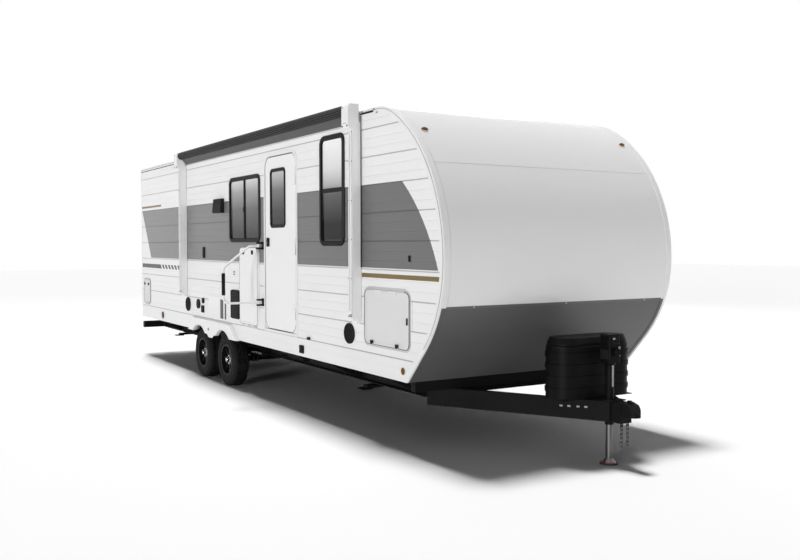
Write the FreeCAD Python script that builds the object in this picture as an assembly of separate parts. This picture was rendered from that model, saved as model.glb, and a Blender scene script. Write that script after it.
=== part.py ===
import FreeCAD
import Part
import math
import os

V = FreeCAD.Vector

# Travel caravan: a twin-axle, aluminium-sided touring trailer, parked on its tongue jack.
# The origin is the centre of the jack foot, on the ground. +X points to the hitch,
# +Y to the street side, +Z up. The door and awning are on the curb side, at -Y.
# All sizes are in millimetres.

# Wheels, axles and springs; the whole body stands on these
tyre_radius = 334.0
tyre_width = 205.0
tyre_bead_radius = 190.0
tyre_bead_in = 22.0
tyre_wall = 100.0
tyre_shoulder = 18.0
tyre_tread_in = 44.0
tyre_flats = 48
wheel_inset = 2.0
axle_front_x = -5520.0
axle_spread = 910.0
axle_side = 60.0
spindle_radius = 24.0
running_gap = 0.5
drum_radius = 127.0
drum_width = 52.0
drum_in = 60.0
drum_plate = 7.0
leaf_half = 330.0
leaf_step = 80.0
leaf_count = 3
leaf_thick = 8.0
leaf_width = 44.0
leaf_bow = 20.0
spring_rise = 52.0
eye_radius = 15.0
hanger_width = 50.0
hanger_lap = 4.0

# Rims
rim_wall = 10.0
rim_spokes = 8
rim_spoke_root = 13.0
rim_spoke_tip = 21.0
rim_spoke_deep = 26.0
rim_seat_in = 14.0
rim_lip = 6.0
rim_face_in = 50.0
rim_hub_back = 28.0
rim_bore_end = 16.0
rim_hub_radius = 62.0
rim_cap_radius = 34.0
rim_cap_high = 44.0

# Body shell
body_width = 2590.0
body_height = 2410.0
rear_x = -9420.0
wall = 50.0
roof_depth = 100.0
floor_depth = 90.0
skin = 8.0
trim = 4.0
trim_leg = 32.0
trim_lap = 58.0
front_trim_extra = 30.0
well_clear = 75.0
well_width = 300.0
well_board = 12.0
well_head = 20.0

# Curved front, from the roof round to the bottom corner
nose_x = -520.0
bulge_rise = 1050.0
roof_sweep = 90.0
brow_radius = 600.0
chin_back = 570.0
chin_run = 416.0
cap_border_rise = 669.0
cap_seam_drop = 550.0
cap_seam = 6.0
cap_seam_deep = 4.0

# Lap siding
seam_rise = 193.0
lap = 255.5
seam_gap = 9.0
seam_deep = 6.0
rib_depth = 2.4
rib_run = 9.0

# Main frame and A-frame
rail_depth = 190.0
rail_width = 100.0
rail_web = 8.0
rail_flange = 10.0
rail_inset = 395.0
rail_rear_gap = 60.0
cross_pitch = 1180.0
cross_width = 60.0
cross_depth = 90.0
cross_wall = 6.0
outrigger_thick = 8.0
outrigger_tip = 30.0
sill_back = 110.0
sill_wide = 70.0
sill_in = 60.0
tongue_rear_x = -1350.0
tongue_nose_x = 60.0
tongue_nose_y = 45.0
tongue_end_x = 190.0
tongue_drop = 98.0
tongue_depth = 165.0
tongue_width = 60.0
tongue_wall = 7.0
tongue_splay = 20.0
tongue_nose_solid = 200.0
sheet = 5.0

# Windows; each hangs a drop below the roof
window_radius = 90.0
window_rim = 42.0
window_lap = 24.0
window_proud = 14.0
window_edge = 5.0
window_return = 20.0
slide_sash = 30.0
tall_sash = 42.0
sash_proud = 8.0
glass = 6.0
glass_in = 4.0
tall_window_x = -2220.0
tall_window_wide = 530.0
tall_window_high = 1092.0
tall_window_drop = 148.0
tall_bar_drop = 545.0
slide_window_x = -4320.0
slide_window_wide = 1000.0
slide_window_high = 800.0
slide_window_drop = 400.0
street_window_x = -2700.0
street_window_wide = 1000.0
street_window_high = 700.0
street_window_drop = 540.0
street_rear_gap = 820.0

# Entry door
door_x = -3300.0
door_wide = 900.0
door_sill = 196.0
door_drop = 210.0
door_corner = 150.0
door_frame_face = 26.0
door_frame_lap = 14.0
door_frame_proud = 10.0
door_gap = 6.0
door_proud = 4.0
door_hinge_out = 22.0
door_hinge_radius = 8.0
door_hinge_low = 174.0
door_hinge_middle = 128.0
door_hinge_high = 380.0
door_strap = 120.0
door_strap_reach = 60.0
door_ear = 56.0
door_ear_reach = 24.0
door_ear_gap = 4.0
door_leaf_half = 3.0
door_window_in = 300.0
door_window_wide = 415.0
door_window_high = 660.0
door_window_drop = 170.0
door_window_radius = 60.0
door_window_rim = 30.0
door_window_lap = 20.0
door_window_proud = 8.0
door_lock_in = 89.0
door_lock_rise = 1014.0
door_lock_half = 50.0
door_lock_wide = 64.0
door_lock_proud = 14.0

# Baggage doors, rear hatch and fold-down table
hatch_gap = 5.0
hatch_thick = 38.0
hatch_proud = 6.0
hatch_radius = 60.0
hatch_rim = 26.0
hatch_pan = 3.0
hatch_flange = 18.0
hinge_radius = 6.0
hinge_out = 12.0
hinge_leaf = 3.0
hinge_set = 2.0
hinge_side = 10.0
hinge_strip = 24.0
hinge_strip_gap = 8.0
knuckle_count = 5
knuckle_gap = 1.0
baggage_back = 525.0
baggage_wide = 780.0
baggage_high = 500.0
baggage_rise = 275.0
baggage_catch_front = 195.0
baggage_catch_rear = 635.0
catch_half = 22.0
catch_high = 28.0
catch_low = 12.0
catch_proud = 12.0
baggage_lock_in = 29.0
baggage_lock_wide = 14.0
baggage_lock_high = 64.0
lock_proud = 10.0
rear_hatch_gap = 130.0
rear_hatch_wide = 360.0
rear_hatch_high = 386.0
rear_hatch_rise = 239.0
rear_lock_near = 52.0
rear_lock_far = 260.0
rear_lock_drop = 81.0
rear_lock_radius = 20.0
rear_louvres = 4
louvre_in = 80.0
louvre_rise = 55.0
louvre_pitch = 38.0
louvre_high = 12.0
table_x = -4360.0
table_wide = 570.0
table_rise = 225.0
table_sill_gap = 60.0
table_thick = 28.0
table_radius = 70.0
table_gap = 1.0
table_hinge_drop = 10.0
table_catch_in = 145.0
table_catch_half = 18.0
table_catch_drop = 35.0
table_catch_high = 50.0
table_bar_in = 90.0
table_bar_rise = 22.0
table_bar_radius = 7.0

# Fender skirts
skirt_rise = 185.0
skirt_proud = 42.0
skirt_wall = 6.0
skirt_lean = 30.0
skirt_top_fall = 14.0
skirt_lip = 6.0
skirt_lip_wide = 14.0
skirt_arch_clear = 50.0
skirt_foot = 118.0
skirt_front_slope = 240.0
skirt_rear_slope = 205.0
skirt_foot_drop = 8.0
skirt_web_drop = 50.0
skirt_web_half = 62.0
skirt_web_root = 150.0
skirt_boss_radius = 26.0
skirt_boss_rise = 58.0
skirt_boss_behind = 60.0

# Awning
arm_front_x = -1931.0
arm_rear_gap = 2345.0
arm_width = 86.0
arm_depth = 90.0
arm_rise = 480.0
arm_lip = 5.0
arm_wall = 6.0
arm_end = 30.0
arm_inner_in = 14.0
arm_inner_rise = 60.0
arm_flute_rise = 90.0
arm_foot_deep = 50.0
arm_foot_lap = 8.0
arm_web = 60.0
head_low_drop = 158.0
head_over = 66.0
head_width = 130.0
head_shift = 28.0
head_depth = 134.0
head_radius = 30.0
head_back = 22.0
roller_radius = 51.0
roller_out = 76.0
roller_rise = 20.0
awning_rail_drop = 112.0
awning_rail_high = 30.0
awning_rail_proud = 14.0
awning_slot_rise = 17.0
fabric = 4.0
fabric_in = 40.0

# Assist handle
handle_gap = 50.0
handle_rise = 515.0
handle_high = 655.0
handle_reach = 420.0
handle_radius = 13.0
handle_stand = 62.0
handle_bend = 70.0
handle_slope_run = 110.0
handle_slope_drop = 250.0
handle_slope_lift = 8.0
handle_pin = 6.0
bracket_half = 45.0
bracket_wide = 60.0
bracket_plate = 8.0
bracket_ear_wide = 36.0
bracket_ear_thick = 20.0
bracket_ear_out = 30.0
bracket_ear_past = 16.0
sleeve_half = 19.0
grip_radius = 19.0
grip_length = 250.0
grip_rise = 95.0

# Tongue jack, coupler and chains
jack_tube_radius = 36.0
jack_leg_radius = 28.5
jack_foot_radius = 78.0
jack_foot_thick = 12.0
jack_foot_slope = 8.0
jack_collar = 34.0
jack_head_rise = 550.0
jack_head_high = 240.0
jack_head_half = 60.0
jack_head_round = 18.0
jack_head_wall = 22.0
jack_neck = 24.0
jack_motor_drop = 150.0
jack_motor_out = 30.0
jack_motor_radius = 34.0
jack_stroke = 270.0
jack_spare = 86.0
jack_tube_below = 37.0
jack_flange_radius = 60.0
jack_plate = 8.0
jack_plate_half = 95.0
ball_socket_radius = 29.6
ball_socket_depth = 46.0
coupler_length = 135.0
coupler_half = 56.0
coupler_lift = 63.0
coupler_high = 112.0
coupler_slope = 18.0
coupler_lip = 30.0
latch_back = 8.0
latch_long = 50.0
latch_high = 16.0
latch_wide = 28.0
chain_wire = 4.0
chain_link = 50.0
chain_bow = 12.0
chain_links = 5
chain_slack = 0.4
chain_x = 172.0
chain_y = 34.0
chain_eye_drop = 13.0
chain_tab = 26.0
chain_tab_thick = 6.0

# Gas bottle cover
cover_x = -270.0
cover_half_y = 405.0
cover_radius = 165.0
cover_high = 430.0
cover_ribs = 4
cover_rib_high = 38.0
cover_rib_out = 8.0
cover_lid_high = 60.0
cover_tray = 5.0
cover_tray_in = 18.0
cover_first_rib = 0.55
cover_slope_high = 14.0
cover_lid_step = 16.0
cover_lid_in = 8.0
cover_lid_round = 30.0

# Rear bumper and stabilisers
bumper_gap = 20.0
bumper_side = 100.0
bumper_inset = 38.0
bumper_wall = 5.0
bumper_drop = 46.0
bumper_arm = 80.0
leg_front_x = -2300.0
leg_rear_gap = 1120.0
leg_length = 560.0
leg_width = 70.0
leg_depth = 28.0
leg_wall = 5.0
leg_pin = 8.0
leg_pivot_drop = 27.0
leg_pivot_in = 430.0
leg_pad = 60.0
leg_pad_thick = 10.0
leg_side_gap = 3.0
leg_heel = 8.0
leg_tray_in = 30.0
leg_plate = 5.0
leg_plate_lap = 12.0
leg_ear = 6.0
leg_ear_half = 40.0
leg_ear_drop = 22.0

# Lamps of the rear end and the sides
tail_wide = 220.0
tail_high = 110.0
tail_in = 295.0
tail_rise = 325.0
tail_proud = 28.0
clearance_wide = 80.0
clearance_high = 28.0
clearance_drop = 76.0
clearance_pitch = 150.0
clearance_in = 60.0
clearance_proud = 16.0
marker_radius = 29.0
marker_proud = 16.0
marker_rise = 93.0
marker_ahead = 37.0
marker_back = 58.0

# Roof fittings
ac_x = -5950.0
ac_length = 1180.0
ac_width = 760.0
ac_height = 330.0
ac_base = 20.0
ac_nose_high = 90.0
ac_nose_run = 260.0
ac_tail_run = 80.0
ac_tail_drop = 100.0
ac_ease = 40.0
ac_slots = 6
ac_slot_deep = 14.0
ac_slot_in = 90.0
ac_slot_high = 12.0
ac_slot_pitch = 27.0
ac_pan_in = 50.0
vent_x = -3200.0
vent_rear_gap = 1420.0
vent_half = 200.0
vent_high = 90.0
vent_flange = 14.0
vent_lid_in = 22.0
vent_ease = 26.0

# Fittings on the curb wall; each stands a rise above the floor line
speaker_radius = 100.0
speaker_proud = 14.0
speaker_rise = 338.0
speaker_ahead = 96.0
speaker_behind = 568.0
holdback_ahead = 284.0
holdback_rise = 207.0
holdback_wide = 42.0
holdback_high = 28.0
holdback_proud = 26.0
outlet_ahead = 100.0
outlet_rise = 76.0
outlet_wide = 30.0
outlet_high = 22.0
outlet_proud = 10.0
water_hatch_rise = 440.0
water_hatch_ahead = 185.0
water_hatch_wide = 285.0
water_hatch_high = 360.0
water_hatch_proud = 16.0
water_hatch_radius = 50.0
clip_ahead = 145.0
clip_rise = 812.0
clip_pitch = 30.0
clip_wide = 30.0
clip_high = 12.0
clip_proud = 8.0
cap_proud = 16.0
inlet_behind = 120.0
inlet_rise = 366.0
inlet_radius = 66.0
fill_ahead = 80.0
fill_rise = 421.0
fill_radius = 38.0
socket_ahead = 60.0
socket_rise = 305.0
socket_side = 96.0
socket_proud = 16.0
socket_radius = 10.0
plug_ahead = 120.0
plug_rise = 1075.0
plug_wide = 70.0
plug_high = 150.0
plug_proud = 14.0
plug_radius = 12.0
oval_ahead = 44.0
oval_rise = 1065.0
oval_wide = 26.0
oval_high = 56.0
oval_proud = 6.0
hood_behind = 200.0
hood_rise = 1590.0
hood_wide = 295.0
hood_high = 180.0
hood_proud = 50.0
service_ahead = 70.0
service_rise = 362.0
service_wide = 680.0
service_high = 285.0
service_proud = 7.0
service_radius = 20.0
service_louvre_high = 240.0
service_louvre_proud = 12.0
louvre_drop = 12.0
louvre_corner = 12.0
louvre_gap = 16.0
louvre_spacing = 75.0
narrow_louvre = 29.0
wide_louvre = 90.0

# Marker lamps on the curved front
brow_lamp_drop = 250.0
brow_lamp_in = 140.0
brow_lamp_wide = 66.0
brow_lamp_high = 30.0
brow_lamp_proud = 14.0

# Entry step
step_pivot_in = 175.0
step_pivot_drop = 70.0
step_side_gap = 160.0
step_arm = 150.0
step_tread = 235.0
step_plate = 6.0
step_pin = 6.0
step_gap = 2.0
step_bar = 14.0
step_plate_half = 90.0
step_tread_lift = 18.0
step_tread_thick = 22.0

# What follows from the sizes above
axle_z = tyre_radius
axle_x = (axle_front_x, axle_front_x - axle_spread)
leaf_seat_z = axle_z + axle_side / 2
leaf_stack = leaf_thick * leaf_count
frame_low_z = leaf_seat_z + leaf_stack + spring_rise
frame_top_z = frame_low_z + rail_depth
bottom_z = frame_top_z
roof_z = bottom_z + body_height
half = body_width / 2
core = half - skin
inner = half - wall
rail_y = half - rail_inset
wheel_face_y = half - wheel_inset
bulge_z = bottom_z + bulge_rise
upper_radius = roof_z - bulge_z + roof_sweep
lower_radius = (chin_back ** 2 + bulge_rise ** 2 - chin_run ** 2) / (2 * chin_back)
chin_x = nose_x - chin_back
cap_border_z = bottom_z + cap_border_rise
seam_z = bottom_z + seam_rise
tongue_top_z = bottom_z - tongue_drop
tongue_low_z = tongue_top_z - tongue_depth
brow_rise = roof_z - brow_radius - bulge_z
roof_end_x = nose_x - upper_radius + math.sqrt((upper_radius - brow_radius) ** 2 - brow_rise ** 2)
arm_rear_x = rear_x + arm_rear_gap
leg_x = (leg_front_x, rear_x + leg_rear_gap)
leg_pivot_z = frame_low_z - leg_pivot_drop
leg_pivot_y = rail_y - leg_pivot_in
door_low_z = bottom_z + door_sill
door_top_z = roof_z - door_drop


def area(front, wide, top, high):
    """Opening in a side wall, as its front, rear, bottom and top."""
    return (front, front - wide, top - high, top)


tall_window = area(tall_window_x, tall_window_wide, roof_z - tall_window_drop, tall_window_high)
slide_window = area(slide_window_x, slide_window_wide, roof_z - slide_window_drop, slide_window_high)
street_top_z = roof_z - street_window_drop
street_windows = (
    area(street_window_x, street_window_wide, street_top_z, street_window_high),
    area(rear_x + street_rear_gap + street_window_wide, street_window_wide, street_top_z, street_window_high))
door_area = area(door_x, door_wide, door_top_z, door_top_z - door_low_z)
door_window = area(door_x - door_window_in, door_window_wide, door_top_z - door_window_drop, door_window_high)
baggage = area(nose_x - baggage_back, baggage_wide, bottom_z + baggage_rise + baggage_high, baggage_high)
rear_hatch = area(rear_x + rear_hatch_gap + rear_hatch_wide, rear_hatch_wide,
                  bottom_z + rear_hatch_rise + rear_hatch_high, rear_hatch_high)
table_top_z = slide_window[2] - table_sill_gap
table = area(table_x, table_wide, table_top_z, table_top_z - bottom_z - table_rise)


def box(x0, x1, y0, y1, z0, z1):
    """Box between two corners, in any order."""
    low = V(min(x0, x1), min(y0, y1), min(z0, z1))
    return Part.makeBox(abs(x1 - x0), abs(y1 - y0), abs(z1 - z0), low)


def prism_xz(points, y0, y1):
    """Polygon in the side view, run across the body."""
    wire = Part.makePolygon([V(x, y0, z) for x, z in points] + [V(points[0][0], y0, points[0][1])])
    return Part.Face(wire).extrude(V(0, y1 - y0, 0))


def prism_yz(points, x0, x1):
    """Polygon in the end view, run along the body."""
    wire = Part.makePolygon([V(x0, y, z) for y, z in points] + [V(x0, points[0][0], points[0][1])])
    return Part.Face(wire).extrude(V(x1 - x0, 0, 0))


def rod(start, end, radius):
    """Round bar between two points."""
    start, end = V(*start), V(*end)
    run = end - start
    return Part.makeCylinder(radius, run.Length, start, run)


def disc_y(x, y0, y1, z, radius):
    """Round plate on a side wall, from y0 to y1."""
    return rod((x, y0, z), (x, y1, z), radius)


def panel(opening, y0, y1, radius, grow=0.0):
    """Round-cornered plate over (front, rear, bottom, top), from y0 to y1."""
    front, rear, low, top = opening
    plate = box(rear - grow, front + grow, y0, y1, low - grow, top + grow)
    radius = max(radius + grow, 1.0)
    across = [e for e in plate.Edges if e.BoundBox.YLength > 0.5 * abs(y1 - y0)]
    return plate.makeFillet(radius, across)


def ring(opening, y0, y1, radius, width, grow=0.0):
    """Frame round an opening: a rounded plate with a rounded hole."""
    outer = panel(opening, y0, y1, radius, grow)
    return outer.cut(panel(opening, y0 - 1, y1 + 1, radius, grow - width))


def eased(shape, y, size):
    """Chamfer round the edges of the face that lies at y."""
    edges = [e for e in shape.Edges if abs(e.BoundBox.YMin - y) < 0.1 and abs(e.BoundBox.YMax - y) < 0.1]
    return shape.makeChamfer(size, edges)


def mirrored(shape):
    """The same piece on the other side."""
    return shape.mirror(V(0, 0, 0), V(0, 1, 0))


def revolve_y(points, x, z):
    """Profile of (radius, y) turned about a line across the body."""
    wire = Part.makePolygon([V(x, y, z + r) for r, y in points + points[:1]])
    return Part.Face(wire).revolve(V(x, 0, z), V(0, 1, 0), 360)


def faceted(rings):
    """Closed loop of flat-sided rings of points, as one solid."""
    count = len(rings[0])
    faces = []
    for here, after in zip(rings, rings[1:] + rings[:1]):
        for k in range(count):
            corners = [here[k], here[k - 1], after[k - 1], after[k]]
            faces.append(Part.Face(Part.makePolygon(corners + corners[:1])))
    whole = Part.Solid(Part.Shell(faces))
    if whole.Volume < 0:
        whole.reverse()
    return whole


def fuse(shapes):
    """One solid from touching ones."""
    return shapes[0].multiFuse(shapes[1:]).removeSplitter()


def cut_all(shape, tools):
    """Take away each tool in turn."""
    for tool in tools:
        shape = shape.cut(tool)
    return shape


def save(name, shapes):
    """Write a node of one or more solids."""
    solids = [solid for shape in shapes for solid in shape.Solids]
    out = solids[0] if len(solids) == 1 else Part.makeCompound(solids)
    out.exportStep("parts/" + name + ".step")
    print(name, len(solids), "valid" if out.isValid() else "INVALID", round(out.Volume / 1e6, 2))


def side_face(inset, low_z=bottom_z):
    """Body outline in the side view, moved inwards by inset, as a face at y = 0."""
    up, out = V(0, 0, 1), V(1, 0, 0)
    low_centre = V(nose_x - lower_radius, 0, bulge_z)
    high_centre = V(nose_x - upper_radius, 0, bulge_z)
    brow_centre = V(roof_end_x, 0, roof_z - brow_radius)
    brow_out = (brow_centre - high_centre).normalize()
    chin = V(chin_x, 0, bottom_z) - low_centre
    slope = math.atan2(chin.z, chin.x) + math.acos(lower_radius / chin.Length)
    normal = V(math.cos(slope), 0, math.sin(slope))
    arcs = []
    for centre, radius, first, last in (
            (brow_centre, brow_radius - inset, up, brow_out),
            (high_centre, upper_radius - inset, brow_out, out),
            (low_centre, lower_radius - inset, out, normal)):
        middle = (first + last).normalize()
        arcs.append(Part.Arc(centre + first * radius, centre + middle * radius,
                             centre + last * radius).toShape())
    tangent = low_centre + normal * (lower_radius - inset)
    run = (tangent.z - low_z) / math.cos(slope)
    corners = [tangent,
               V(tangent.x + run * math.sin(slope), 0, low_z),
               V(rear_x + inset, 0, low_z),
               V(rear_x + inset, 0, roof_z - inset),
               brow_centre + up * (brow_radius - inset)]
    lines = [Part.LineSegment(a, b).toShape() for a, b in zip(corners, corners[1:])]
    return Part.Face(Part.Wire(arcs + lines))


def side_slab(inset, y0, y1, low_z=bottom_z):
    """The body outline run across from y0 to y1."""
    face = side_face(inset, low_z)
    face.translate(V(0, y0, 0))
    return face.extrude(V(0, y1 - y0, 0))


def wheel_well(reach):
    """Space over both wheels on the curb side, out to reach past the tyres."""
    radius = tyre_radius + reach
    over = 30.0
    shapes = [disc_y(x, -half - over, -half + well_width + over, axle_z, radius) for x in axle_x]
    shoulder = axle_z + radius * math.cos(math.radians(30))
    between = box(axle_x[1], axle_x[0], -half - over, -half + well_width + over, 0, shoulder)
    return shapes + [between]


def lapped(z0, z1, face, back):
    """Lapped siding in section, as (depth, height) from its back to its ribs."""
    inward = math.copysign(1.0, back - face)
    points = [(back, z0), (face, z0)]
    seam = seam_z
    while seam < z1 - 1:
        if seam > z0 + rib_run:
            low, high = seam - seam_gap / 2, seam + seam_gap / 2
            deep = face + inward * seam_deep
            points += [(face, low), (deep, low + 1), (deep, high - 1), (face, high)]
        for share in (1 / 3, 2 / 3):
            rib = seam + lap * share
            if rib < z1 - rib_run:
                points += [(face, rib - rib_run), (face + inward * rib_depth, rib), (face, rib + rib_run)]
        seam += lap
    return points + [(face, z1), (back, z1)]


def window_holes(openings, y0, y1):
    """Holes for a wall's windows, inside their frames."""
    return [panel(opening, y0, y1, window_radius, -window_lap) for opening in openings]


def door_hole(y0, y1, grow):
    """Doorway, round at the top corners only."""
    front, rear, low, top = door_area
    hole = panel(door_area, y0, y1, door_corner, grow)
    return hole.fuse(box(rear - grow, front + grow, y0, y1, low - grow, low + door_corner))


def make_walls():
    """Curb and street walls, their siding, and the front, rear, roof and floor."""
    well = wheel_well(well_clear)
    over = 40.0
    y_out, y_in = -half - over, -inner + over
    hatch_holes = [panel(baggage, y_out, y_in, hatch_radius)]
    curb_holes = window_holes([tall_window, slide_window], y_out, y_in) + hatch_holes
    curb_holes.append(door_hole(y_out, y_in, door_frame_lap - door_frame_face))
    curb_holes.append(panel(rear_hatch, y_out, y_in, hatch_radius))
    street_holes = window_holes(street_windows, y_out, y_in) + hatch_holes
    slab = side_slab(0, -core, -inner)
    save("curb_wall", [cut_all(slab, curb_holes + well)])
    save("street_wall", [mirrored(cut_all(slab, street_holes + well))])

    section = prism_yz(lapped(bottom_z, roof_z, -half, -core), rear_x, nose_x)
    skin_slab = section.common(side_slab(0, -half - 1, -core))
    curb_skin = cut_all(skin_slab, curb_holes + well)
    street_skin = mirrored(cut_all(skin_slab, street_holes + well))
    save("side_siding", [curb_skin, street_skin])

    shell = side_slab(0, -inner, inner).cut(side_slab(wall, -inner, inner))
    front = shell.common(box(roof_end_x, nose_x, -inner, inner, cap_border_z, roof_z))
    guard = shell.common(box(roof_end_x, nose_x, -inner, inner, bottom_z, cap_border_z))
    rind = side_slab(-1, -inner, inner).cut(side_slab(cap_seam_deep, -inner, inner))
    seam_low = roof_z - cap_seam_drop
    seam = rind.common(box(roof_end_x, nose_x + 1, -inner, inner, seam_low, seam_low + cap_seam))
    save("front_cap", [front.cut(seam)])
    save("front_guard", [guard])
    save("roof", [box(rear_x, roof_end_x, -inner, inner, roof_z - roof_depth, roof_z)])
    rear = prism_xz(lapped(bottom_z, roof_z - roof_depth, rear_x, rear_x + wall), -inner, inner)
    save("rear_wall", [rear])
    floor = side_slab(wall, -inner, inner).common(
        box(rear_x + wall, nose_x, -inner, inner, bottom_z, bottom_z + floor_depth))
    save("floor", [cut_all(floor, well + [mirrored(s) for s in well])])
    make_wheel_boxes()
    make_trim()


def make_wheel_boxes():
    """Boxes that close the floor over the wheels, inside the walls."""
    radius = tyre_radius + well_clear
    top = axle_z + radius + well_head
    rear, front = axle_x[1] - radius, axle_x[0] + radius
    outer = box(rear, front, -inner, -inner + well_width, bottom_z + floor_depth, top)
    hollow = box(rear + well_board, front - well_board, -inner, -inner + well_width - well_board,
                 bottom_z + floor_depth, top - well_board)
    lid = outer.cut(hollow)
    save("wheel_boxes", [lid, mirrored(lid)])


def make_trim():
    """Edge mouldings: an angle along each edge of the front, the roof and the rear."""
    outer = side_slab(-trim, -half - trim, -half + trim_lap)
    angle = outer.cut(side_slab(0, -half, -half + trim_lap))
    opening = side_slab(trim_leg, -half - trim, -half, bottom_z)
    setback = opening.copy()
    setback.translate(V(-front_trim_extra, 0, 0))
    angle = angle.cut(opening.common(setback))
    save("edge_trim", [angle, mirrored(angle)])


def skirt_block(inset):
    """Tapered block of the skirt, from the wall out to its face, shrunk on all sides by inset."""
    top, foot = bottom_z + skirt_rise, bottom_z - skirt_foot_drop
    arch = tyre_radius + skirt_arch_clear
    front, rear = axle_x[0] + arch + skirt_foot - inset, axle_x[1] - arch - skirt_foot + inset
    outlines = []
    for y, lean, fall in ((-half, 0, 0), (-half - skirt_proud + inset, skirt_lean, skirt_top_fall)):
        high = top - fall - inset
        part = (high - foot) / (top - foot)
        points = [V(front - lean, y, foot - inset), V(front - lean - part * skirt_front_slope, y, high),
                  V(rear + lean + part * skirt_rear_slope, y, high), V(rear + lean, y, foot - inset)]
        outlines.append(Part.makePolygon(points + points[:1]))
    return Part.makeLoft(outlines, True, True)


def make_skirts():
    """Fender skirts over the wheels: hollow tapered mouldings with two rolled arches and a boss."""
    arch = tyre_radius + skirt_arch_clear
    foot = bottom_z - skirt_foot_drop
    low = bottom_z - skirt_web_drop
    y_face = -half - skirt_proud
    middle = (axle_x[0] + axle_x[1]) / 2
    block = skirt_block(0)
    web = prism_xz([(middle - skirt_web_root, bottom_z), (middle + skirt_web_root, bottom_z),
                    (middle + skirt_web_half, low), (middle - skirt_web_half, low)],
                   y_face, y_face + skirt_wall)
    boss_x = middle - skirt_boss_behind
    boss = disc_y(boss_x, y_face - skirt_lip, y_face, bottom_z + skirt_boss_rise, skirt_boss_radius)
    parts = [block.cut(skirt_block(skirt_wall)), web, boss]
    for x in axle_x:
        parts.append(disc_y(x, y_face, -half, axle_z, arch + skirt_wall).common(block))
        lip = disc_y(x, y_face - skirt_lip, y_face, axle_z, arch + skirt_lip_wide)
        parts.append(lip.common(box(x - 2 * arch, x + 2 * arch, y_face - skirt_lip, y_face, foot, roof_z)))
    skirt = cut_all(fuse(parts), [disc_y(x, 2 * y_face, -half + 1, axle_z, arch) for x in axle_x])
    save("fender_skirts", [skirt, mirrored(skirt)])


def window(opening, bar_drop):
    """Clamp-ring frame with a bar, and its pane; a bar_drop of 0 stands the bar upright."""
    front, rear, low, top = opening
    y_face = -half - window_proud
    outer = eased(panel(opening, y_face, -half, window_radius), y_face, window_edge)
    frame = outer.cut(panel(opening, y_face - 1, 0, window_radius, -window_rim))
    inside = ring(opening, -half, -half + window_return, window_radius, window_rim - window_lap, -window_lap)
    y_bar = -half - sash_proud
    if bar_drop:
        z = top - bar_drop
        bar = box(rear + window_rim, front - window_rim, y_bar, -half + window_return,
                  z - tall_sash / 2, z + tall_sash / 2)
    else:
        middle = (front + rear) / 2
        bar = box(middle - slide_sash / 2, middle + slide_sash / 2, y_bar, -half + window_return,
                  low + window_rim, top - window_rim)
    pane = panel(opening, -half + glass_in, -half + glass_in + glass, window_radius, -window_rim)
    return fuse([frame, inside, bar]), pane.cut(bar)


def make_windows():
    """Window frames and their glass on both sides."""
    pairs = [window(tall_window, tall_bar_drop), window(slide_window, 0)]
    pairs += [[mirrored(shape) for shape in window(opening, 0)] for opening in street_windows]
    save("window_frames", [frame for frame, pane in pairs])
    save("window_glass", [pane for frame, pane in pairs])


def make_door():
    """Entry door: frame in the wall, slab with its own window and lock, and hinge knuckles."""
    y_frame = -half - door_frame_proud
    frame = door_hole(y_frame, -half, 0).cut(door_hole(y_frame - 1, 0, -door_frame_face))
    liner = door_hole(-half, -inner, door_frame_lap - door_frame_face)
    liner = liner.cut(door_hole(-half - 1, 0, -door_frame_face))
    x = door_x - door_frame_face - door_gap / 2
    y = -half - door_hinge_out
    h = door_leaf_half
    middle = (door_low_z + door_top_z) / 2
    hinge_z = (door_low_z + door_hinge_low, middle - door_hinge_middle, door_top_z - door_hinge_high)
    ears = []
    straps = []
    for z in hinge_z:
        ear_z = z + door_strap + door_ear_gap
        ears.append(rod((x, y, ear_z), (x, y, ear_z + door_ear), door_hinge_radius))
        ears.append(box(x, x + door_ear_reach, y - h, y_frame, ear_z, ear_z + door_ear))
        straps.append(rod((x, y, z), (x, y, z + door_strap), door_hinge_radius))
        straps.append(box(x - door_strap_reach, x, y - h, -half - door_proud, z, z + door_strap))
    save("door_frame", [fuse([frame, liner] + ears)])

    y_face = -half - door_proud
    leaf = door_hole(y_face, -inner, -door_frame_face - door_gap)
    leaf = leaf.cut(panel(door_window, y_face - 1, -inner + 1, door_window_radius, -door_window_lap))
    y_rim = y_face - door_window_proud
    rim = eased(panel(door_window, y_rim, y_face, door_window_radius), y_rim, 3)
    rim = rim.cut(panel(door_window, y_rim - 1, y_face + 1, door_window_radius, -door_window_rim))
    lock_x = door_area[1] + door_frame_face + door_gap + door_lock_in
    lock_z = door_low_z + door_lock_rise
    w, h, y_lock = door_lock_wide / 2, door_lock_half, y_face - door_lock_proud
    lock = eased(box(lock_x - w, lock_x + w, y_lock, y_face, lock_z - h, lock_z + h), y_lock, 4)
    save("entry_door", [fuse([leaf, rim, lock] + straps)])
    save("door_glass", [panel(door_window, y_face + 2, y_face + 2 + glass, door_window_radius,
                              -door_window_lap)])


def knuckles(x0, x1, y, z, first):
    """Every other knuckle of a hinge along X, from number first."""
    step = (x1 - x0) / knuckle_count
    return [rod((x0 + step * i + knuckle_gap, y, z), (x0 + step * (i + 1) - knuckle_gap, y, z), hinge_radius)
            for i in range(first, knuckle_count, 2)]


def hinge_webs(rods, y0, y1, z0, z1):
    """Web from each knuckle to its leaf."""
    return [box(r.BoundBox.XMin, r.BoundBox.XMax, y0, y1, z0, z1) for r in rods]


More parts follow.
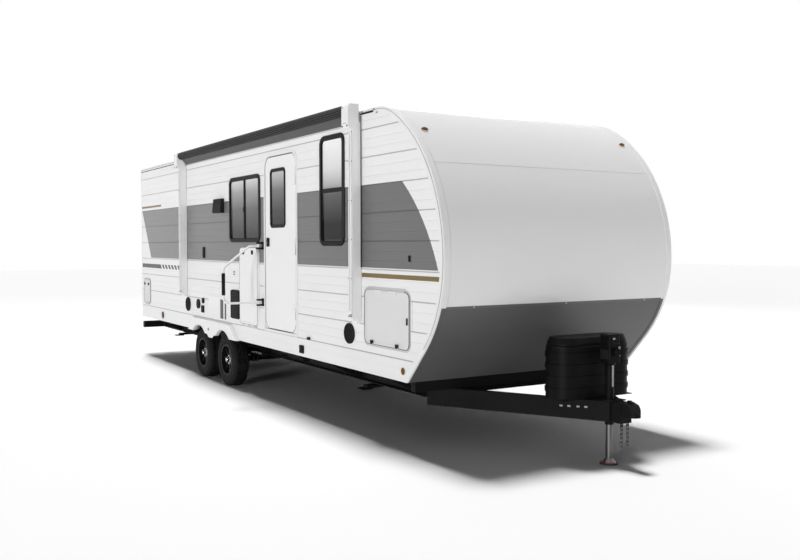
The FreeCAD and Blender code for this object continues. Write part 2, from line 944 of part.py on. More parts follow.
def flap(opening, away):
    """Hatch door with its moving knuckles, and its fixed flange; away is +1 for a hinge at the top."""
    front, rear, low, top = opening
    y_face = -half - hatch_proud
    leaf = eased(panel(opening, y_face, y_face + hatch_thick, hatch_radius, -hatch_gap), y_face, 3)
    pan = panel(opening, y_face - 1, y_face + hatch_pan, hatch_radius, -hatch_gap - hatch_rim)
    edge = top if away > 0 else low
    hinge_z = edge - away * hinge_set
    x0, x1 = rear + hatch_radius + hinge_side, front - hatch_radius - hinge_side
    y = -half - hinge_out
    moving = knuckles(x0, x1, y, hinge_z, 1)
    webs = hinge_webs(moving, y, y_face + 1, hinge_z, edge - away * hatch_rim)
    fixed = knuckles(x0, x1, y, hinge_z, 0)
    strip_z = hinge_z + away * hinge_strip_gap
    back = hinge_webs(fixed, y, -half, hinge_z, strip_z + away * hinge_leaf)
    flange = ring(opening, -half - hinge_leaf, -half, hatch_radius, hatch_flange, hatch_flange)
    flange = flange.cut(box(x0, x1, -half - hinge_leaf, -half, edge, strip_z))
    strip = box(x0, x1, -half - hinge_leaf, -half, strip_z, strip_z + away * hinge_strip)
    return [leaf.cut(pan)] + moving + webs, fuse(fixed + back + [strip, flange])


def make_hatches():
    """Baggage doors, rear hatch and fold-down table, each a thick leaf on its own hinge."""
    y_face = -half - hatch_proud
    front, rear, low, top = baggage
    leaf, strip = flap(baggage, 1)
    catches = [box(x - catch_half, x + catch_half, y_face - catch_proud, y_face,
                   low + catch_low, low + catch_low + catch_high)
               for x in (front - baggage_catch_front, front - baggage_catch_rear)]
    lock_x, middle = front - baggage_lock_in, (low + top) / 2
    w, h = baggage_lock_wide / 2, baggage_lock_high / 2
    lock = box(lock_x - w, lock_x + w, y_face - lock_proud, y_face, middle - h, middle + h)
    door = fuse(leaf + catches + [lock])
    save("baggage_door_curb", [door])
    save("baggage_door_street", [mirrored(door)])
    strips = [strip, mirrored(strip)]

    front, rear, low, top = rear_hatch
    leaf, strip = flap(rear_hatch, -1)
    locks = [disc_y(x, y_face - lock_proud, y_face + hatch_pan, top - rear_lock_drop, rear_lock_radius)
             for x in (rear + rear_lock_near, rear + rear_lock_far)]
    slots = [box(rear + louvre_in, front - louvre_in, y_face, y_face + 2 * hatch_pan, z, z + louvre_high)
             for z in (low + louvre_rise + louvre_pitch * i for i in range(rear_louvres))]
    save("rear_hatch", [cut_all(fuse(leaf + locks), slots)])
    strips.append(strip)

    front, rear, low, top = table
    y_out = -half - table_gap - table_thick
    leaf = eased(panel(table, y_out, y_out + table_thick, table_radius), y_out, 4)
    y = y_out + table_thick / 2
    z = low - table_hinge_drop
    x0, x1 = rear + table_radius, front - table_radius
    moving = knuckles(x0, x1, y, z, 1)
    webs = hinge_webs(moving, y - 4, y + 4, z, low + 1)
    catch_top = top - table_catch_drop
    catches = [box(x - table_catch_half, x + table_catch_half, y_out - catch_proud, y_out,
                   catch_top - table_catch_high, catch_top)
               for x in (rear + table_catch_in, front - table_catch_in)]
    bar_z = low + table_bar_rise
    y_bar = y_out - 4
    bar = rod((rear + table_bar_in, y_bar, bar_z), (front - table_bar_in, y_bar, bar_z), table_bar_radius)
    save("table_flap", [fuse([leaf, bar] + moving + webs + catches)])
    fixed = knuckles(x0, x1, y, z, 0)
    back = hinge_webs(fixed, y, -half, z - hinge_radius, z)
    plate_top = z - hinge_radius + 2
    plate = box(x0, x1, -half - hinge_leaf, -half, plate_top - hinge_strip, plate_top)
    strips.append(fuse(fixed + back + [plate]))
    save("hinge_strips", strips)


def make_awning():
    """Arms, roller heads, rolled fabric and its drop to the rail."""
    arm_low_z = bottom_z + arm_rise
    head_low_z, head_top_z = roof_z - head_low_drop, roof_z + head_over
    y_back = -half - trim
    arms = []
    for x in (arm_front_x, arm_rear_x):
        h = arm_width / 2
        channel = box(x - h, x + h, y_back - arm_depth, y_back, arm_low_z, head_low_z)
        slot = box(x - h + arm_lip, x + h - arm_lip, y_back - arm_depth - 1, y_back - arm_wall,
                   arm_low_z + arm_end, head_low_z - arm_end)
        h -= arm_inner_in
        y_front = y_back - arm_depth - arm_wall
        nested = box(x - h, x + h, y_front, y_back - arm_wall, arm_low_z + arm_inner_rise, head_low_z)
        flute = box(x - h / 2, x + h / 2, y_front - 1, y_front + arm_wall,
                    arm_low_z + arm_flute_rise, head_low_z)
        h = head_width / 2
        head_x = x - head_shift
        head = box(head_x - h, head_x + h, y_back - head_depth, y_back - head_back, head_low_z, head_top_z)
        lip = [e for e in head.Edges if e.BoundBox.XLength > h and e.BoundBox.YMax < y_back - head_depth / 2]
        head = head.makeFillet(head_radius, lip)
        h = arm_width / 2 + arm_foot_lap
        foot = box(x - h, x + h, y_back - arm_foot_deep, -half, arm_low_z - arm_end, arm_low_z + arm_end)
        h = arm_web / 2
        web = box(x - h, x + h, y_back - arm_web, -half, head_low_z - arm_foot_lap, head_low_z + arm_web)
        arms.append(fuse([channel.cut(slot), nested.cut(flute), head, foot, web]))
    save("awning_arms", arms)

    y = -half - roller_out
    z = roof_z + roller_rise
    front, rear = arm_front_x - head_shift - head_width / 2, arm_rear_x - head_shift + head_width / 2
    save("awning_roller", [rod((rear, y, z), (front, y, z), roller_radius)])
    rail_z = roof_z - awning_rail_drop
    lip_y = -half - awning_rail_proud
    slot_z = rail_z + awning_slot_rise
    rail_top = rail_z + awning_rail_high
    rail = prism_yz([(-half, rail_z), (lip_y, rail_z), (lip_y, slot_z), (lip_y + fabric, slot_z + fabric),
                     (lip_y + fabric, rail_top), (-half, rail_top)], rear, front)
    save("awning_rail", [rail])
    low = z - roller_radius
    drop = prism_yz([(lip_y, slot_z), (lip_y, slot_z - fabric), (y, low - fabric), (y, low)],
                    rear + fabric_in, front - fabric_in)
    save("awning_fabric", [drop])


def make_handle():
    """Fold-away assist handle, swung out for use, and its two wall brackets."""
    x = door_area[1] - handle_gap
    y = -half - handle_stand
    low = bottom_z + handle_rise
    top = low + handle_high
    brackets = []
    y_plate = -half - bracket_plate
    for z in (low, top):
        w, h = bracket_wide / 2, bracket_half
        plate = box(x - w, x + w, y_plate, -half, z - h, z + h)
        w, h = bracket_ear_wide / 2, bracket_ear_thick / 2
        ears = [box(x - w, x + w, y - bracket_ear_past, y_plate, z + off - h, z + off + h)
                for off in (-bracket_ear_out, bracket_ear_out)]
        reach = bracket_ear_out + h
        pin = rod((x, y, z - reach), (x, y, z + reach), handle_pin)
        brackets.append(fuse([plate, pin] + ears))
    save("handle_brackets", brackets)
    out = y - handle_reach
    path = [V(x, y, low), V(x, out, low), V(x, out, top - handle_slope_drop),
            V(x, y - handle_slope_run, top - handle_slope_lift), V(x, y, top)]
    tube = pipe(path, handle_radius, handle_bend)
    sleeves = [rod((x, y, z - sleeve_half), (x, y, z + sleeve_half), handle_radius + 1) for z in (low, top)]
    grip = rod((x, out, low + grip_rise), (x, out, low + grip_rise + grip_length), grip_radius)
    bore = rod((x, y, low - sleeve_half - 1), (x, y, top + sleeve_half + 1), handle_pin + running_gap)
    save("assist_handle", [fuse([tube, grip] + sleeves).cut(bore)])


def pipe(points, radius, bend):
    """Round tube along straight runs joined by tangent arcs."""
    edges = []
    start = points[0]
    for here, after in zip(points[1:-1], points[2:]):
        into = (here - start).normalize()
        away = (after - here).normalize()
        turn = into.getAngle(away)
        cut = bend * math.tan(turn / 2)
        first = here - into * cut
        last = here + away * cut
        middle = here + (away - into).normalize() * (bend / math.cos(turn / 2) - bend)
        edges.append(Part.LineSegment(start, first).toShape())
        edges.append(Part.Arc(first, middle, last).toShape())
        start = last
    edges.append(Part.LineSegment(start, points[-1]).toShape())
    section = Part.Wire(Part.makeCircle(radius, points[0], points[1] - points[0]))
    return Part.Wire(edges).makePipeShell([section], True, False)


def i_rail(y):
    """Main rail: web, two flanges and the block that carries the bumper."""
    x0, x1 = rear_x + rail_rear_gap, tongue_rear_x - sheet
    h, a = rail_width / 2, bumper_arm / 2
    return fuse([box(x0, x1, y - rail_web / 2, y + rail_web / 2, frame_low_z, frame_top_z),
                 box(x0, x1, y - h, y + h, frame_low_z, frame_low_z + rail_flange),
                 box(x0, x1, y - h, y + h, frame_top_z - rail_flange, frame_top_z),
                 box(rear_x + bumper_gap, x0, y - a, y + a, frame_low_z, frame_top_z)])


def crossmember(x):
    """Channel between the rails' webs, open to the rear."""
    low, top = frame_top_z - cross_depth, frame_top_z - rail_flange
    t, x1 = cross_wall, x + cross_width
    section = [(x, low), (x1, low), (x1, top), (x, top), (x, top - t), (x1 - t, top - t), (x1 - t, low + t),
               (x, low + t)]
    reach = rail_y - rail_web / 2
    return prism_xz(section, -reach, reach)


def outrigger(x, side):
    """Tapered bracket from a rail out to the side wall."""
    web, flange, tip = rail_y + rail_web / 2, rail_y + rail_width / 2, inner
    low, top = frame_low_z + 2 * rail_flange, frame_top_z - rail_flange
    points = [(web, low), (web, top), (flange, top), (flange, frame_top_z), (tip, frame_top_z),
              (tip, frame_top_z - outrigger_tip), (flange, low)]
    return prism_yz([(side * y, z) for y, z in points], x, x + outrigger_thick)


def stabiliser_base(x):
    """Plate under both rails with the ears that carry two legs."""
    h = leg_width / 2 + leg_side_gap
    reach = rail_y + rail_width / 2
    past = h + leg_plate_lap
    pieces = [box(x - past, x + past, -reach, reach, frame_low_z - leg_plate, frame_low_z)]
    for side in (-1, 1):
        y = side * leg_pivot_y
        bore = rod((x - past, y, leg_pivot_z), (x + past, y, leg_pivot_z), leg_pin + running_gap)
        for ear_x in (x - h - leg_ear, x + h):
            ear = box(ear_x, ear_x + leg_ear, y - leg_ear_half, y + leg_ear_half,
                      leg_pivot_z - leg_ear_drop, frame_low_z)
            pieces.append(ear.cut(bore))
    return fuse(pieces)


def make_frame():
    """Main rails, crossmembers, outriggers, belly sheet, and the A-frame in front of them."""
    save("main_frame", [i_rail(side * rail_y) for side in (-1, 1)])
    members = []
    x = tongue_rear_x - cross_width - sheet
    while x > rear_x + rail_rear_gap:
        members.append(crossmember(x))
        near_wheel = axle_x[1] - tyre_radius - well_clear < x < axle_x[0] + tyre_radius + well_clear
        near_step = door_area[1] < x < door_x
        if not near_wheel:
            members.append(outrigger(x, 1))
        if not near_wheel and not near_step:
            members.append(outrigger(x, -1))
        x -= cross_pitch
    reach = rail_y + rail_width / 2
    members.append(box(tongue_rear_x - sheet, tongue_rear_x, -reach, reach, frame_low_z, frame_top_z))
    members.append(box(chin_x - sill_back, chin_x - sill_back + sill_wide, sill_in - inner, inner - sill_in,
                       tongue_top_z, frame_top_z))
    members += [stabiliser_base(x) for x in leg_x]
    save("crossmembers", members)
    reach = rail_y - rail_web
    low = frame_low_z + rail_flange
    past = leaf_half + hanger_width
    h = leg_width
    runs = ((leg_x[0] - h, axle_x[0] + past), (axle_x[1] - past, leg_x[1] + h))
    save("underbelly", [box(x1, x0, -reach, reach, low, low + sheet) for x0, x1 in runs])
    make_tongue()


def make_tongue():
    """A-frame of two channels meeting at the nose, with jack plate, cover tray and chain eyes."""
    beams = []
    for side in (-1, 1):
        a = V(tongue_nose_x, side * tongue_nose_y, 0)
        b = V(tongue_rear_x - tongue_width, side * (rail_y + tongue_splay), 0)
        inward = V(b.y - a.y, a.x - b.x, 0).normalize() * -side
        start = a + (b - a).normalize() * tongue_nose_solid
        solid = beam(a, b, tongue_low_z, tongue_top_z, tongue_width)
        hollow = beam(start, b, tongue_low_z + tongue_wall, tongue_top_z - tongue_wall, tongue_width)
        hollow.translate(inward * tongue_wall)
        beams.append(solid.cut(hollow))
    limit = box(tongue_rear_x, tongue_end_x, -half, half, tongue_low_z, tongue_top_z)
    plate = box(-jack_plate_half, jack_plate_half, -jack_plate_half, jack_plate_half, tongue_top_z,
                tongue_top_z + jack_plate)
    nose = box(tongue_nose_x, tongue_end_x, -tongue_width, tongue_width, tongue_low_z, tongue_top_z)
    reach, run = cover_half_y - cover_tray_in, cover_radius - cover_tray_in
    tray = box(cover_x - run, cover_x + run, -reach, reach, tongue_top_z, tongue_top_z + cover_tray)
    eyes = []
    eye_z = tongue_low_z - chain_eye_drop
    for side in (-1, 1):
        y = side * chain_y
        h, t = chain_tab / 2, chain_tab_thick / 2
        tab = box(chain_x - t, chain_x + t, y - h, y + h, eye_z - h - 2, tongue_low_z)
        eyes.append(tab.cut(rod((chain_x - h, y, eye_z), (chain_x + h, y, eye_z), 2 * chain_wire)))
    bore = rod((0, 0, tongue_low_z - 1), (0, 0, tongue_top_z + 2 * jack_plate), jack_tube_radius + 1)
    frame = fuse([beam.common(limit) for beam in beams] + [plate, nose, tray] + eyes)
    save("tongue_frame", [frame.cut(bore)])


def beam(a, b, low, top, width):
    """Straight beam on plan from a to b."""
    side = V(a.y - b.y, b.x - a.x, 0).normalize() * (width / 2)
    lift = V(0, 0, low)
    corners = [a + side + lift, b + side + lift, b - side + lift, a - side + lift]
    return Part.Face(Part.makePolygon(corners + corners[:1])).extrude(V(0, 0, top - low))


def make_coupler():
    """Ball coupler: a rounded nose with a latch on top and the socket below."""
    low = tongue_low_z + coupler_lift
    top = low + coupler_high
    tip_x = tongue_end_x + coupler_length
    ball_x = tip_x - coupler_half
    side = prism_xz([(tongue_end_x, low), (tongue_end_x, top - 4), (tongue_end_x + 25, top),
                     (ball_x, top - coupler_slope), (ball_x + 34, top - 3 * coupler_slope),
                     (tip_x, low + coupler_lip), (tip_x, low)], -coupler_half, coupler_half)
    plan = box(tongue_end_x, ball_x, -coupler_half, coupler_half, low, top).fuse(
        rod((ball_x, 0, low), (ball_x, 0, top), coupler_half))
    latch_x = ball_x - latch_back
    latch = prism_xz([(latch_x - latch_long, top - 26), (latch_x, top - 26), (latch_x, top - 4),
                      (latch_x - latch_long / 2, top + latch_high), (latch_x - latch_long, top + latch_high)],
                     -latch_wide / 2, latch_wide / 2)
    socket = rod((ball_x, 0, low), (ball_x, 0, low + ball_socket_depth), ball_socket_radius)
    save("coupler", [fuse([side.common(plan), latch]).cut(socket)])


def make_jack():
    """Tongue jack: tube and motor head on the A-frame, and the leg that slides in them."""
    top = tongue_top_z + jack_head_rise
    tube_low = tongue_low_z - jack_tube_below
    tube = rod((0, 0, tube_low), (0, 0, top - jack_head_high), jack_tube_radius)
    hollow = rod((0, 0, tube_low), (0, 0, top - jack_head_wall), jack_leg_radius + running_gap)
    flange = rod((0, 0, tongue_top_z + jack_plate), (0, 0, tongue_top_z + 2 * jack_plate), jack_flange_radius)
    h = jack_head_half
    head = box(-h, h, -h, h, top - jack_head_high, top)
    rounded = [e for e in head.Edges if e.BoundBox.ZMin > top - 1 or e.BoundBox.ZLength > h]
    head = head.makeFillet(jack_head_round, rounded)
    neck = Part.makeCone(jack_tube_radius, h - 6, jack_neck, V(0, 0, top - jack_head_high - jack_neck))
    motor_z = top - jack_motor_drop
    motor = rod((h - 6, 0, motor_z), (h + jack_motor_out, 0, motor_z), jack_motor_radius)
    save("jack_head", [fuse([tube, head, flange, neck, motor]).cut(hollow)])
    leg_top = top - jack_head_wall - jack_stroke - jack_spare
    leg = rod((0, 0, jack_foot_thick), (0, 0, leg_top), jack_leg_radius)
    foot = Part.makeCone(jack_foot_radius, jack_foot_radius - jack_foot_slope, jack_foot_thick)
    collar = Part.makeCone(2 * jack_leg_radius, jack_leg_radius + 5, jack_collar, V(0, 0, jack_foot_thick))
    save("jack_leg", [fuse([leg, foot, collar])])


def cover_tier(low, top, out_low, out_top):
    """One tier of the cover, two lobes and a waist, from one outset to another."""
    reach = cover_half_y - cover_radius
    r0, r1 = cover_radius + out_low, cover_radius + out_top
    if out_low == out_top:
        lobes = [rod((cover_x, s * reach, low), (cover_x, s * reach, top), r0) for s in (-1, 1)]
    else:
        lobes = [Part.makeCone(r0, r1, top - low, V(cover_x, s * reach, low)) for s in (-1, 1)]
    waist = prism_xz([(cover_x - r0, low), (cover_x + r0, low), (cover_x + r1, top), (cover_x - r1, top)],
                     -reach, reach)
    return fuse(lobes + [waist])


def make_cover():
    """Ribbed twin gas-bottle cover with a lift-up lid, moulded in one skin."""
    low = tongue_top_z + cover_tray
    shoulder = low + cover_high
    tiers = [cover_tier(low, shoulder, 0, 0)]
    tiers.append(cover_tier(shoulder, shoulder + cover_slope_high, 0, -cover_slope_high))
    pitch = (cover_high - cover_rib_high) / cover_ribs
    for index in range(cover_ribs):
        z = low + pitch * (index + cover_first_rib)
        tiers.append(cover_tier(z, z + cover_rib_high, cover_rib_out, cover_rib_out))
    lid = shoulder + cover_slope_high
    tiers.append(cover_tier(lid, lid + cover_lid_step, -cover_lid_in, -cover_lid_in))
    tiers.append(cover_tier(lid + cover_lid_step, lid + cover_lid_high, -cover_lid_in, -cover_lid_round))
    save("bottle_cover", [fuse(tiers)])


def make_chains():
    """Two safety chains of real links hanging from eyes below the nose."""
    solids = []
    pitch = chain_link - 4 * chain_wire - chain_slack
    top = tongue_low_z - chain_eye_drop - 6 + 2 * chain_wire
    for side in (-1, 1):
        for index in range(chain_links):
            solids.append(link(V(chain_x, side * chain_y, top - index * pitch), index % 2))
    save("safety_chains", solids)


def link(top, turned):
    """One oval link of flat-sided wire hanging from top."""
    bends = 6
    sides = 6
    run = chain_link / 2 - chain_bow - chain_wire
    rings = []
    for lift, first in ((run, 0), (-run, math.pi)):
        for step in range(bends + 1):
            angle = first + math.pi * step / bends
            out = V(math.cos(angle), 0, math.sin(angle))
            centre = V(0, 0, lift) + out * chain_bow
            rings.append([centre + out * chain_wire * math.cos(2 * math.pi * k / sides)
                          + V(0, chain_wire * math.sin(2 * math.pi * k / sides), 0) for k in range(sides)])
    whole = faceted(rings)
    if turned:
        whole.rotate(V(0, 0, 0), V(0, 0, 1), 90)
    whole.translate(top - V(0, 0, chain_link / 2))
    return whole


def tyre(x, y):
    """Tyre of flat facets, with one flat on the ground."""
    w, r = tyre_width / 2, tyre_radius
    half_profile = [(tyre_bead_radius, w - tyre_bead_in), (r - tyre_wall, w - 4), (r - tyre_wall / 2, w),
                    (r - tyre_shoulder, w - 12), (r, w - tyre_tread_in)]
    profile = half_profile + [(radius, -off) for radius, off in reversed(half_profile)]
    flat = math.pi / tyre_flats
    rings = []
    for index in range(tyre_flats):
        angle = math.pi / 2 + flat + 2 * flat * index
        rings.append([V(x + radius / math.cos(flat) * math.cos(angle), y + off,
                        axle_z + radius / math.cos(flat) * math.sin(angle)) for radius, off in profile])
    return faceted(rings)


def rim(x, y, side):
    """Spoked rim: barrel with lips, dished spokes, hub and centre cap, open between the spokes."""
    w = tyre_width / 2 - rim_seat_in
    bead = tyre_bead_radius
    hollow = bead - rim_wall
    barrel = revolve_y([(hollow, y - w), (bead, y - w), (bead, y + w), (hollow, y + w)], x, axle_z)
    lip_in, lip_out = y + side * w, y + side * (w + rim_lip)
    lip = revolve_y([(hollow, lip_in - side * rim_lip), (bead + rim_lip, lip_in), (bead + rim_lip, lip_out),
                     (hollow + rim_lip / 2, lip_out)], x, axle_z)
    face_y = y + side * rim_face_in
    deep = side * rim_spoke_deep
    hub = disc_y(x, y - side * rim_hub_back, face_y, axle_z, rim_hub_radius)
    cap = disc_y(x, face_y, face_y + side * rim_cap_high, axle_z, rim_cap_radius)
    tip = bead - rim_wall / 2
    root = rim_hub_radius - rim_wall
    spokes = []
    for index in range(rim_spokes):
        spoke = prism_xz([(x - rim_spoke_root, axle_z + root), (x + rim_spoke_root, axle_z + root),
                          (x + rim_spoke_tip, axle_z + tip), (x - rim_spoke_tip, axle_z + tip)],
                         face_y - deep, face_y)
        spoke.rotate(V(x, y, axle_z), V(0, 1, 0), 360.0 / rim_spokes * index)
        spokes.append(spoke)
    bore = disc_y(x, y - side * 2 * rim_hub_back, y + side * rim_bore_end, axle_z,
                  spindle_radius + running_gap)
    return fuse([barrel, lip, hub, cap] + spokes).cut(bore)


def make_wheels():
    """Four wheels, each a tyre on a spoked rim, and the axles and springs that carry them."""
    middle = wheel_face_y - tyre_width / 2
    for x, end in zip(axle_x, ("front", "rear")):
        for side, word in ((-1, "curb"), (1, "street")):
            y = side * middle
            save("tyre_" + end + "_" + word, [tyre(x, y)])
            save("rim_" + end + "_" + word, [rim(x, y, side)])
    axles = []
    h = axle_side / 2
    drum_y = middle - drum_in
    for x in axle_x:
        tube = box(x - h, x + h, -drum_y, drum_y, axle_z - h, axle_z + h)
        spindles = [disc_y(x, s * drum_y, s * (middle + rim_bore_end / 2), axle_z, spindle_radius)
                    for s in (-1, 1)]
        drums = [disc_y(x, s * drum_y - drum_width / 2, s * drum_y + drum_width / 2, axle_z, drum_radius)
                 for s in (-1, 1)]
        back = drum_y - drum_width / 2
        plates = [disc_y(x, s * (back - drum_plate), s * back, axle_z, drum_radius + drum_plate)
                  for s in (-1, 1)]
        axles.append(fuse([tube] + spindles + drums + plates))
    save("axles", axles)
    save("springs", [suspension(s * rail_y) for s in (-1, 1)])


def leaf(x, y, half_run, low):
    """One bowed leaf of a pack, its ends raised."""
    rise = leaf_bow * (half_run / leaf_half) ** 2
    arcs = []
    for lift in (0, leaf_thick):
        arcs.append(Part.Arc(V(x - half_run, y, low + rise + lift), V(x, y, low + lift),
                             V(x + half_run, y, low + rise + lift)).toShape())
    ends = [Part.LineSegment(arcs[0].Vertexes[k].Point, arcs[1].Vertexes[k].Point).toShape() for k in (0, -1)]
    face = Part.Face(Part.Wire([arcs[0], ends[1], arcs[1], ends[0]]))
    face.translate(V(0, -leaf_width / 2, 0))
    return face.extrude(V(0, leaf_width, 0))


def suspension(y):
    """Leaf packs of both axles under one rail, with their hangers and the equaliser between them."""
    pieces = []
    eye_z = leaf_seat_z + leaf_thick * (leaf_count - 1) + leaf_bow + leaf_thick / 2
    h = leaf_width / 2
    for x in axle_x:
        for index in range(leaf_count):
            run = leaf_half - leaf_step * (leaf_count - 1 - index)
            pieces.append(leaf(x, y, run, leaf_seat_z + leaf_thick * index))
        pieces += [rod((x + s * leaf_half, y - h, eye_z), (x + s * leaf_half, y + h, eye_z), eye_radius)
                   for s in (-1, 1)]
    h += hanger_lap
    w = hanger_width / 2
    foot = w - 2 * hanger_lap
    for x in (axle_x[0] + leaf_half, axle_x[1] - leaf_half):
        low = eye_z - eye_radius - hanger_lap
        pieces.append(prism_xz([(x - foot, low), (x + foot, low), (x + w, frame_low_z), (x - w, frame_low_z)],
                               y - h, y + h))
    x0, x1 = axle_x[1] + leaf_half - foot, axle_x[0] - leaf_half + foot
    middle = (x0 + x1) / 2
    low, high = eye_z - eye_radius + hanger_lap, eye_z + 2 * hanger_lap
    pieces.append(prism_xz([(x0, low), (x1, low), (x1, high), (middle + 2 * w, frame_low_z),
                            (middle - 2 * w, frame_low_z), (x0, high)], y - h, y + h))
    return fuse(pieces)


def make_rear():
    """Hollow square bumper on two brackets, and the lamps of the rear end."""
    h = bumper_side / 2
    z = tongue_top_z - bumper_drop
    x0, x1 = rear_x - bumper_gap - bumper_side, rear_x - bumper_gap
    reach = half - bumper_inset
    outer = box(x0, x1, -reach, reach, z - h, z + h)
    t = bumper_wall
    hollow = box(x0 + t, x1 - t, -reach, reach, z - h + t, z + h - t)
    a = bumper_arm / 2
    arms = [box(x1, rear_x + bumper_gap, s * rail_y - a, s * rail_y + a, z - a, z + a) for s in (-1, 1)]
    save("rear_bumper", [fuse([outer.cut(hollow)] + arms)])

    lamps = []
    w, h = tail_wide / 2, tail_high / 2
    for s in (-1, 1):
        y, z = s * (half - tail_in), bottom_z + tail_rise
        lamp = box(rear_x - tail_proud, rear_x, y - w, y + w, z - h, z + h)
        face = [e for e in lamp.Edges if e.BoundBox.XMax < rear_x - tail_proud + 1]
        lamps.append(lamp.makeChamfer(8, face))
    w, h, z = clearance_wide / 2, clearance_high / 2, roof_z - clearance_drop
    for y in (clearance_in - inner, -clearance_pitch, 0, clearance_pitch, inner - clearance_in):
        lamps.append(box(rear_x - clearance_proud, rear_x, y - w, y + w, z - h, z + h))
    lamps += [disc_y(leg_x[1] + marker_ahead, s * (half + marker_proud), s * half, bottom_z + marker_rise,
                     marker_radius) for s in (-1, 1)]
    save("tail_lamps", lamps)


def make_legs():
    """Drop-down stabiliser legs at the four corners, folded up across the frame."""
    w, h, z = leg_width / 2, leg_depth / 2, leg_pivot_z
    for x, end in zip(leg_x, ("front", "rear")):
        for s, word in ((-1, "curb"), (1, "street")):
            y = s * leg_pivot_y
            tip = y + s * leg_length
            root = y + s * leg_tray_in
            arm = box(x - w, x + w, y - s * leg_heel, tip, z - h, z + h)
            t = leg_wall
            tray = box(x - w + t, x + w - t, root, tip - s * leg_pad / 3, z - h + t, z + h)
            pad = box(x - leg_pad, x + leg_pad, tip - s * leg_pad, tip + s * leg_pad,
                      z - h - leg_pad_thick, z - h)
            reach = w + leg_side_gap + leg_ear
            pin = rod((x - reach, y, z), (x + reach, y, z), leg_pin)
            save("leg_" + end + "_" + word, [fuse([arm.cut(tray), pad, pin])])


def make_roof_fittings():
    """Air conditioner with a slotted rear end, and two roof vents."""
    x0, x1 = ac_x - ac_length / 2, ac_x + ac_length / 2
    h = ac_width / 2
    base, top = roof_z + ac_base, roof_z + ac_height
    shroud = prism_xz([(x0, base), (x1, base), (x1, base + ac_nose_high), (x1 - ac_nose_run, top),
                       (x0 + ac_tail_run, top), (x0, top - ac_tail_drop)], -h, h)
    upright = [e for e in shroud.Edges if e.BoundBox.YLength < 1 and e.BoundBox.ZMin > base + 1]
    shroud = shroud.makeChamfer(ac_ease, upright)
    slots = [box(x0 - 1, x0 + ac_slot_deep, -h + ac_slot_in, h - ac_slot_in, z, z + ac_slot_high)
             for z in (base + ac_slot_pitch * (i + 1) for i in range(ac_slots))]
    pan = box(x0 + ac_pan_in, x1 - ac_pan_in, -h + ac_pan_in, h - ac_pan_in, roof_z, base)
    save("roof_ac", [fuse([cut_all(shroud, slots), pan])])
    vents = []
    for x in (vent_x, rear_x + vent_rear_gap):
        low = roof_z + vent_flange
        flange = box(x - vent_half, x + vent_half, -vent_half, vent_half, roof_z, low)
        v = vent_half - vent_lid_in
        lid = box(x - v, x + v, -v, v, low, roof_z + vent_high)
        lid = lid.makeChamfer(vent_ease, [e for e in lid.Edges if e.BoundBox.ZMin > roof_z + vent_high - 1])
        vents.append(fuse([flange, lid]))
    save("roof_vents", vents)


def speaker(x):
    """Round outdoor speaker with a raised rim and a dished grille."""
    r, y, out = speaker_radius, -half, speaker_proud
    profile = [(0, y), (r, y), (r - 2, y - out * 0.7), (r - 12, y - out), (r - 20, y - out * 0.6),
               (r * 0.3, y - out / 2), (0, y - out / 2)]
    return revolve_y(profile, x, bottom_z + speaker_rise)


def fitting(x, rise, wide, high, proud, radius=0.0):
    """Boxed fitting on the curb wall, centred rise above the floor line, its outer edges eased."""
    z = bottom_z + rise
    y = -half - proud
    if radius:
        shape = panel((x + wide / 2, x - wide / 2, z - high / 2, z + high / 2), y, -half, radius)
    else:
        shape = box(x - wide / 2, x + wide / 2, y, -half, z - high / 2, z + high / 2)
    return eased(shape, y, min(3.0, proud / 3))


def round_fitting(x, rise, radius):
    """Round cap on the curb wall."""
    return disc_y(x, -half - cap_proud, -half, bottom_z + rise, radius)


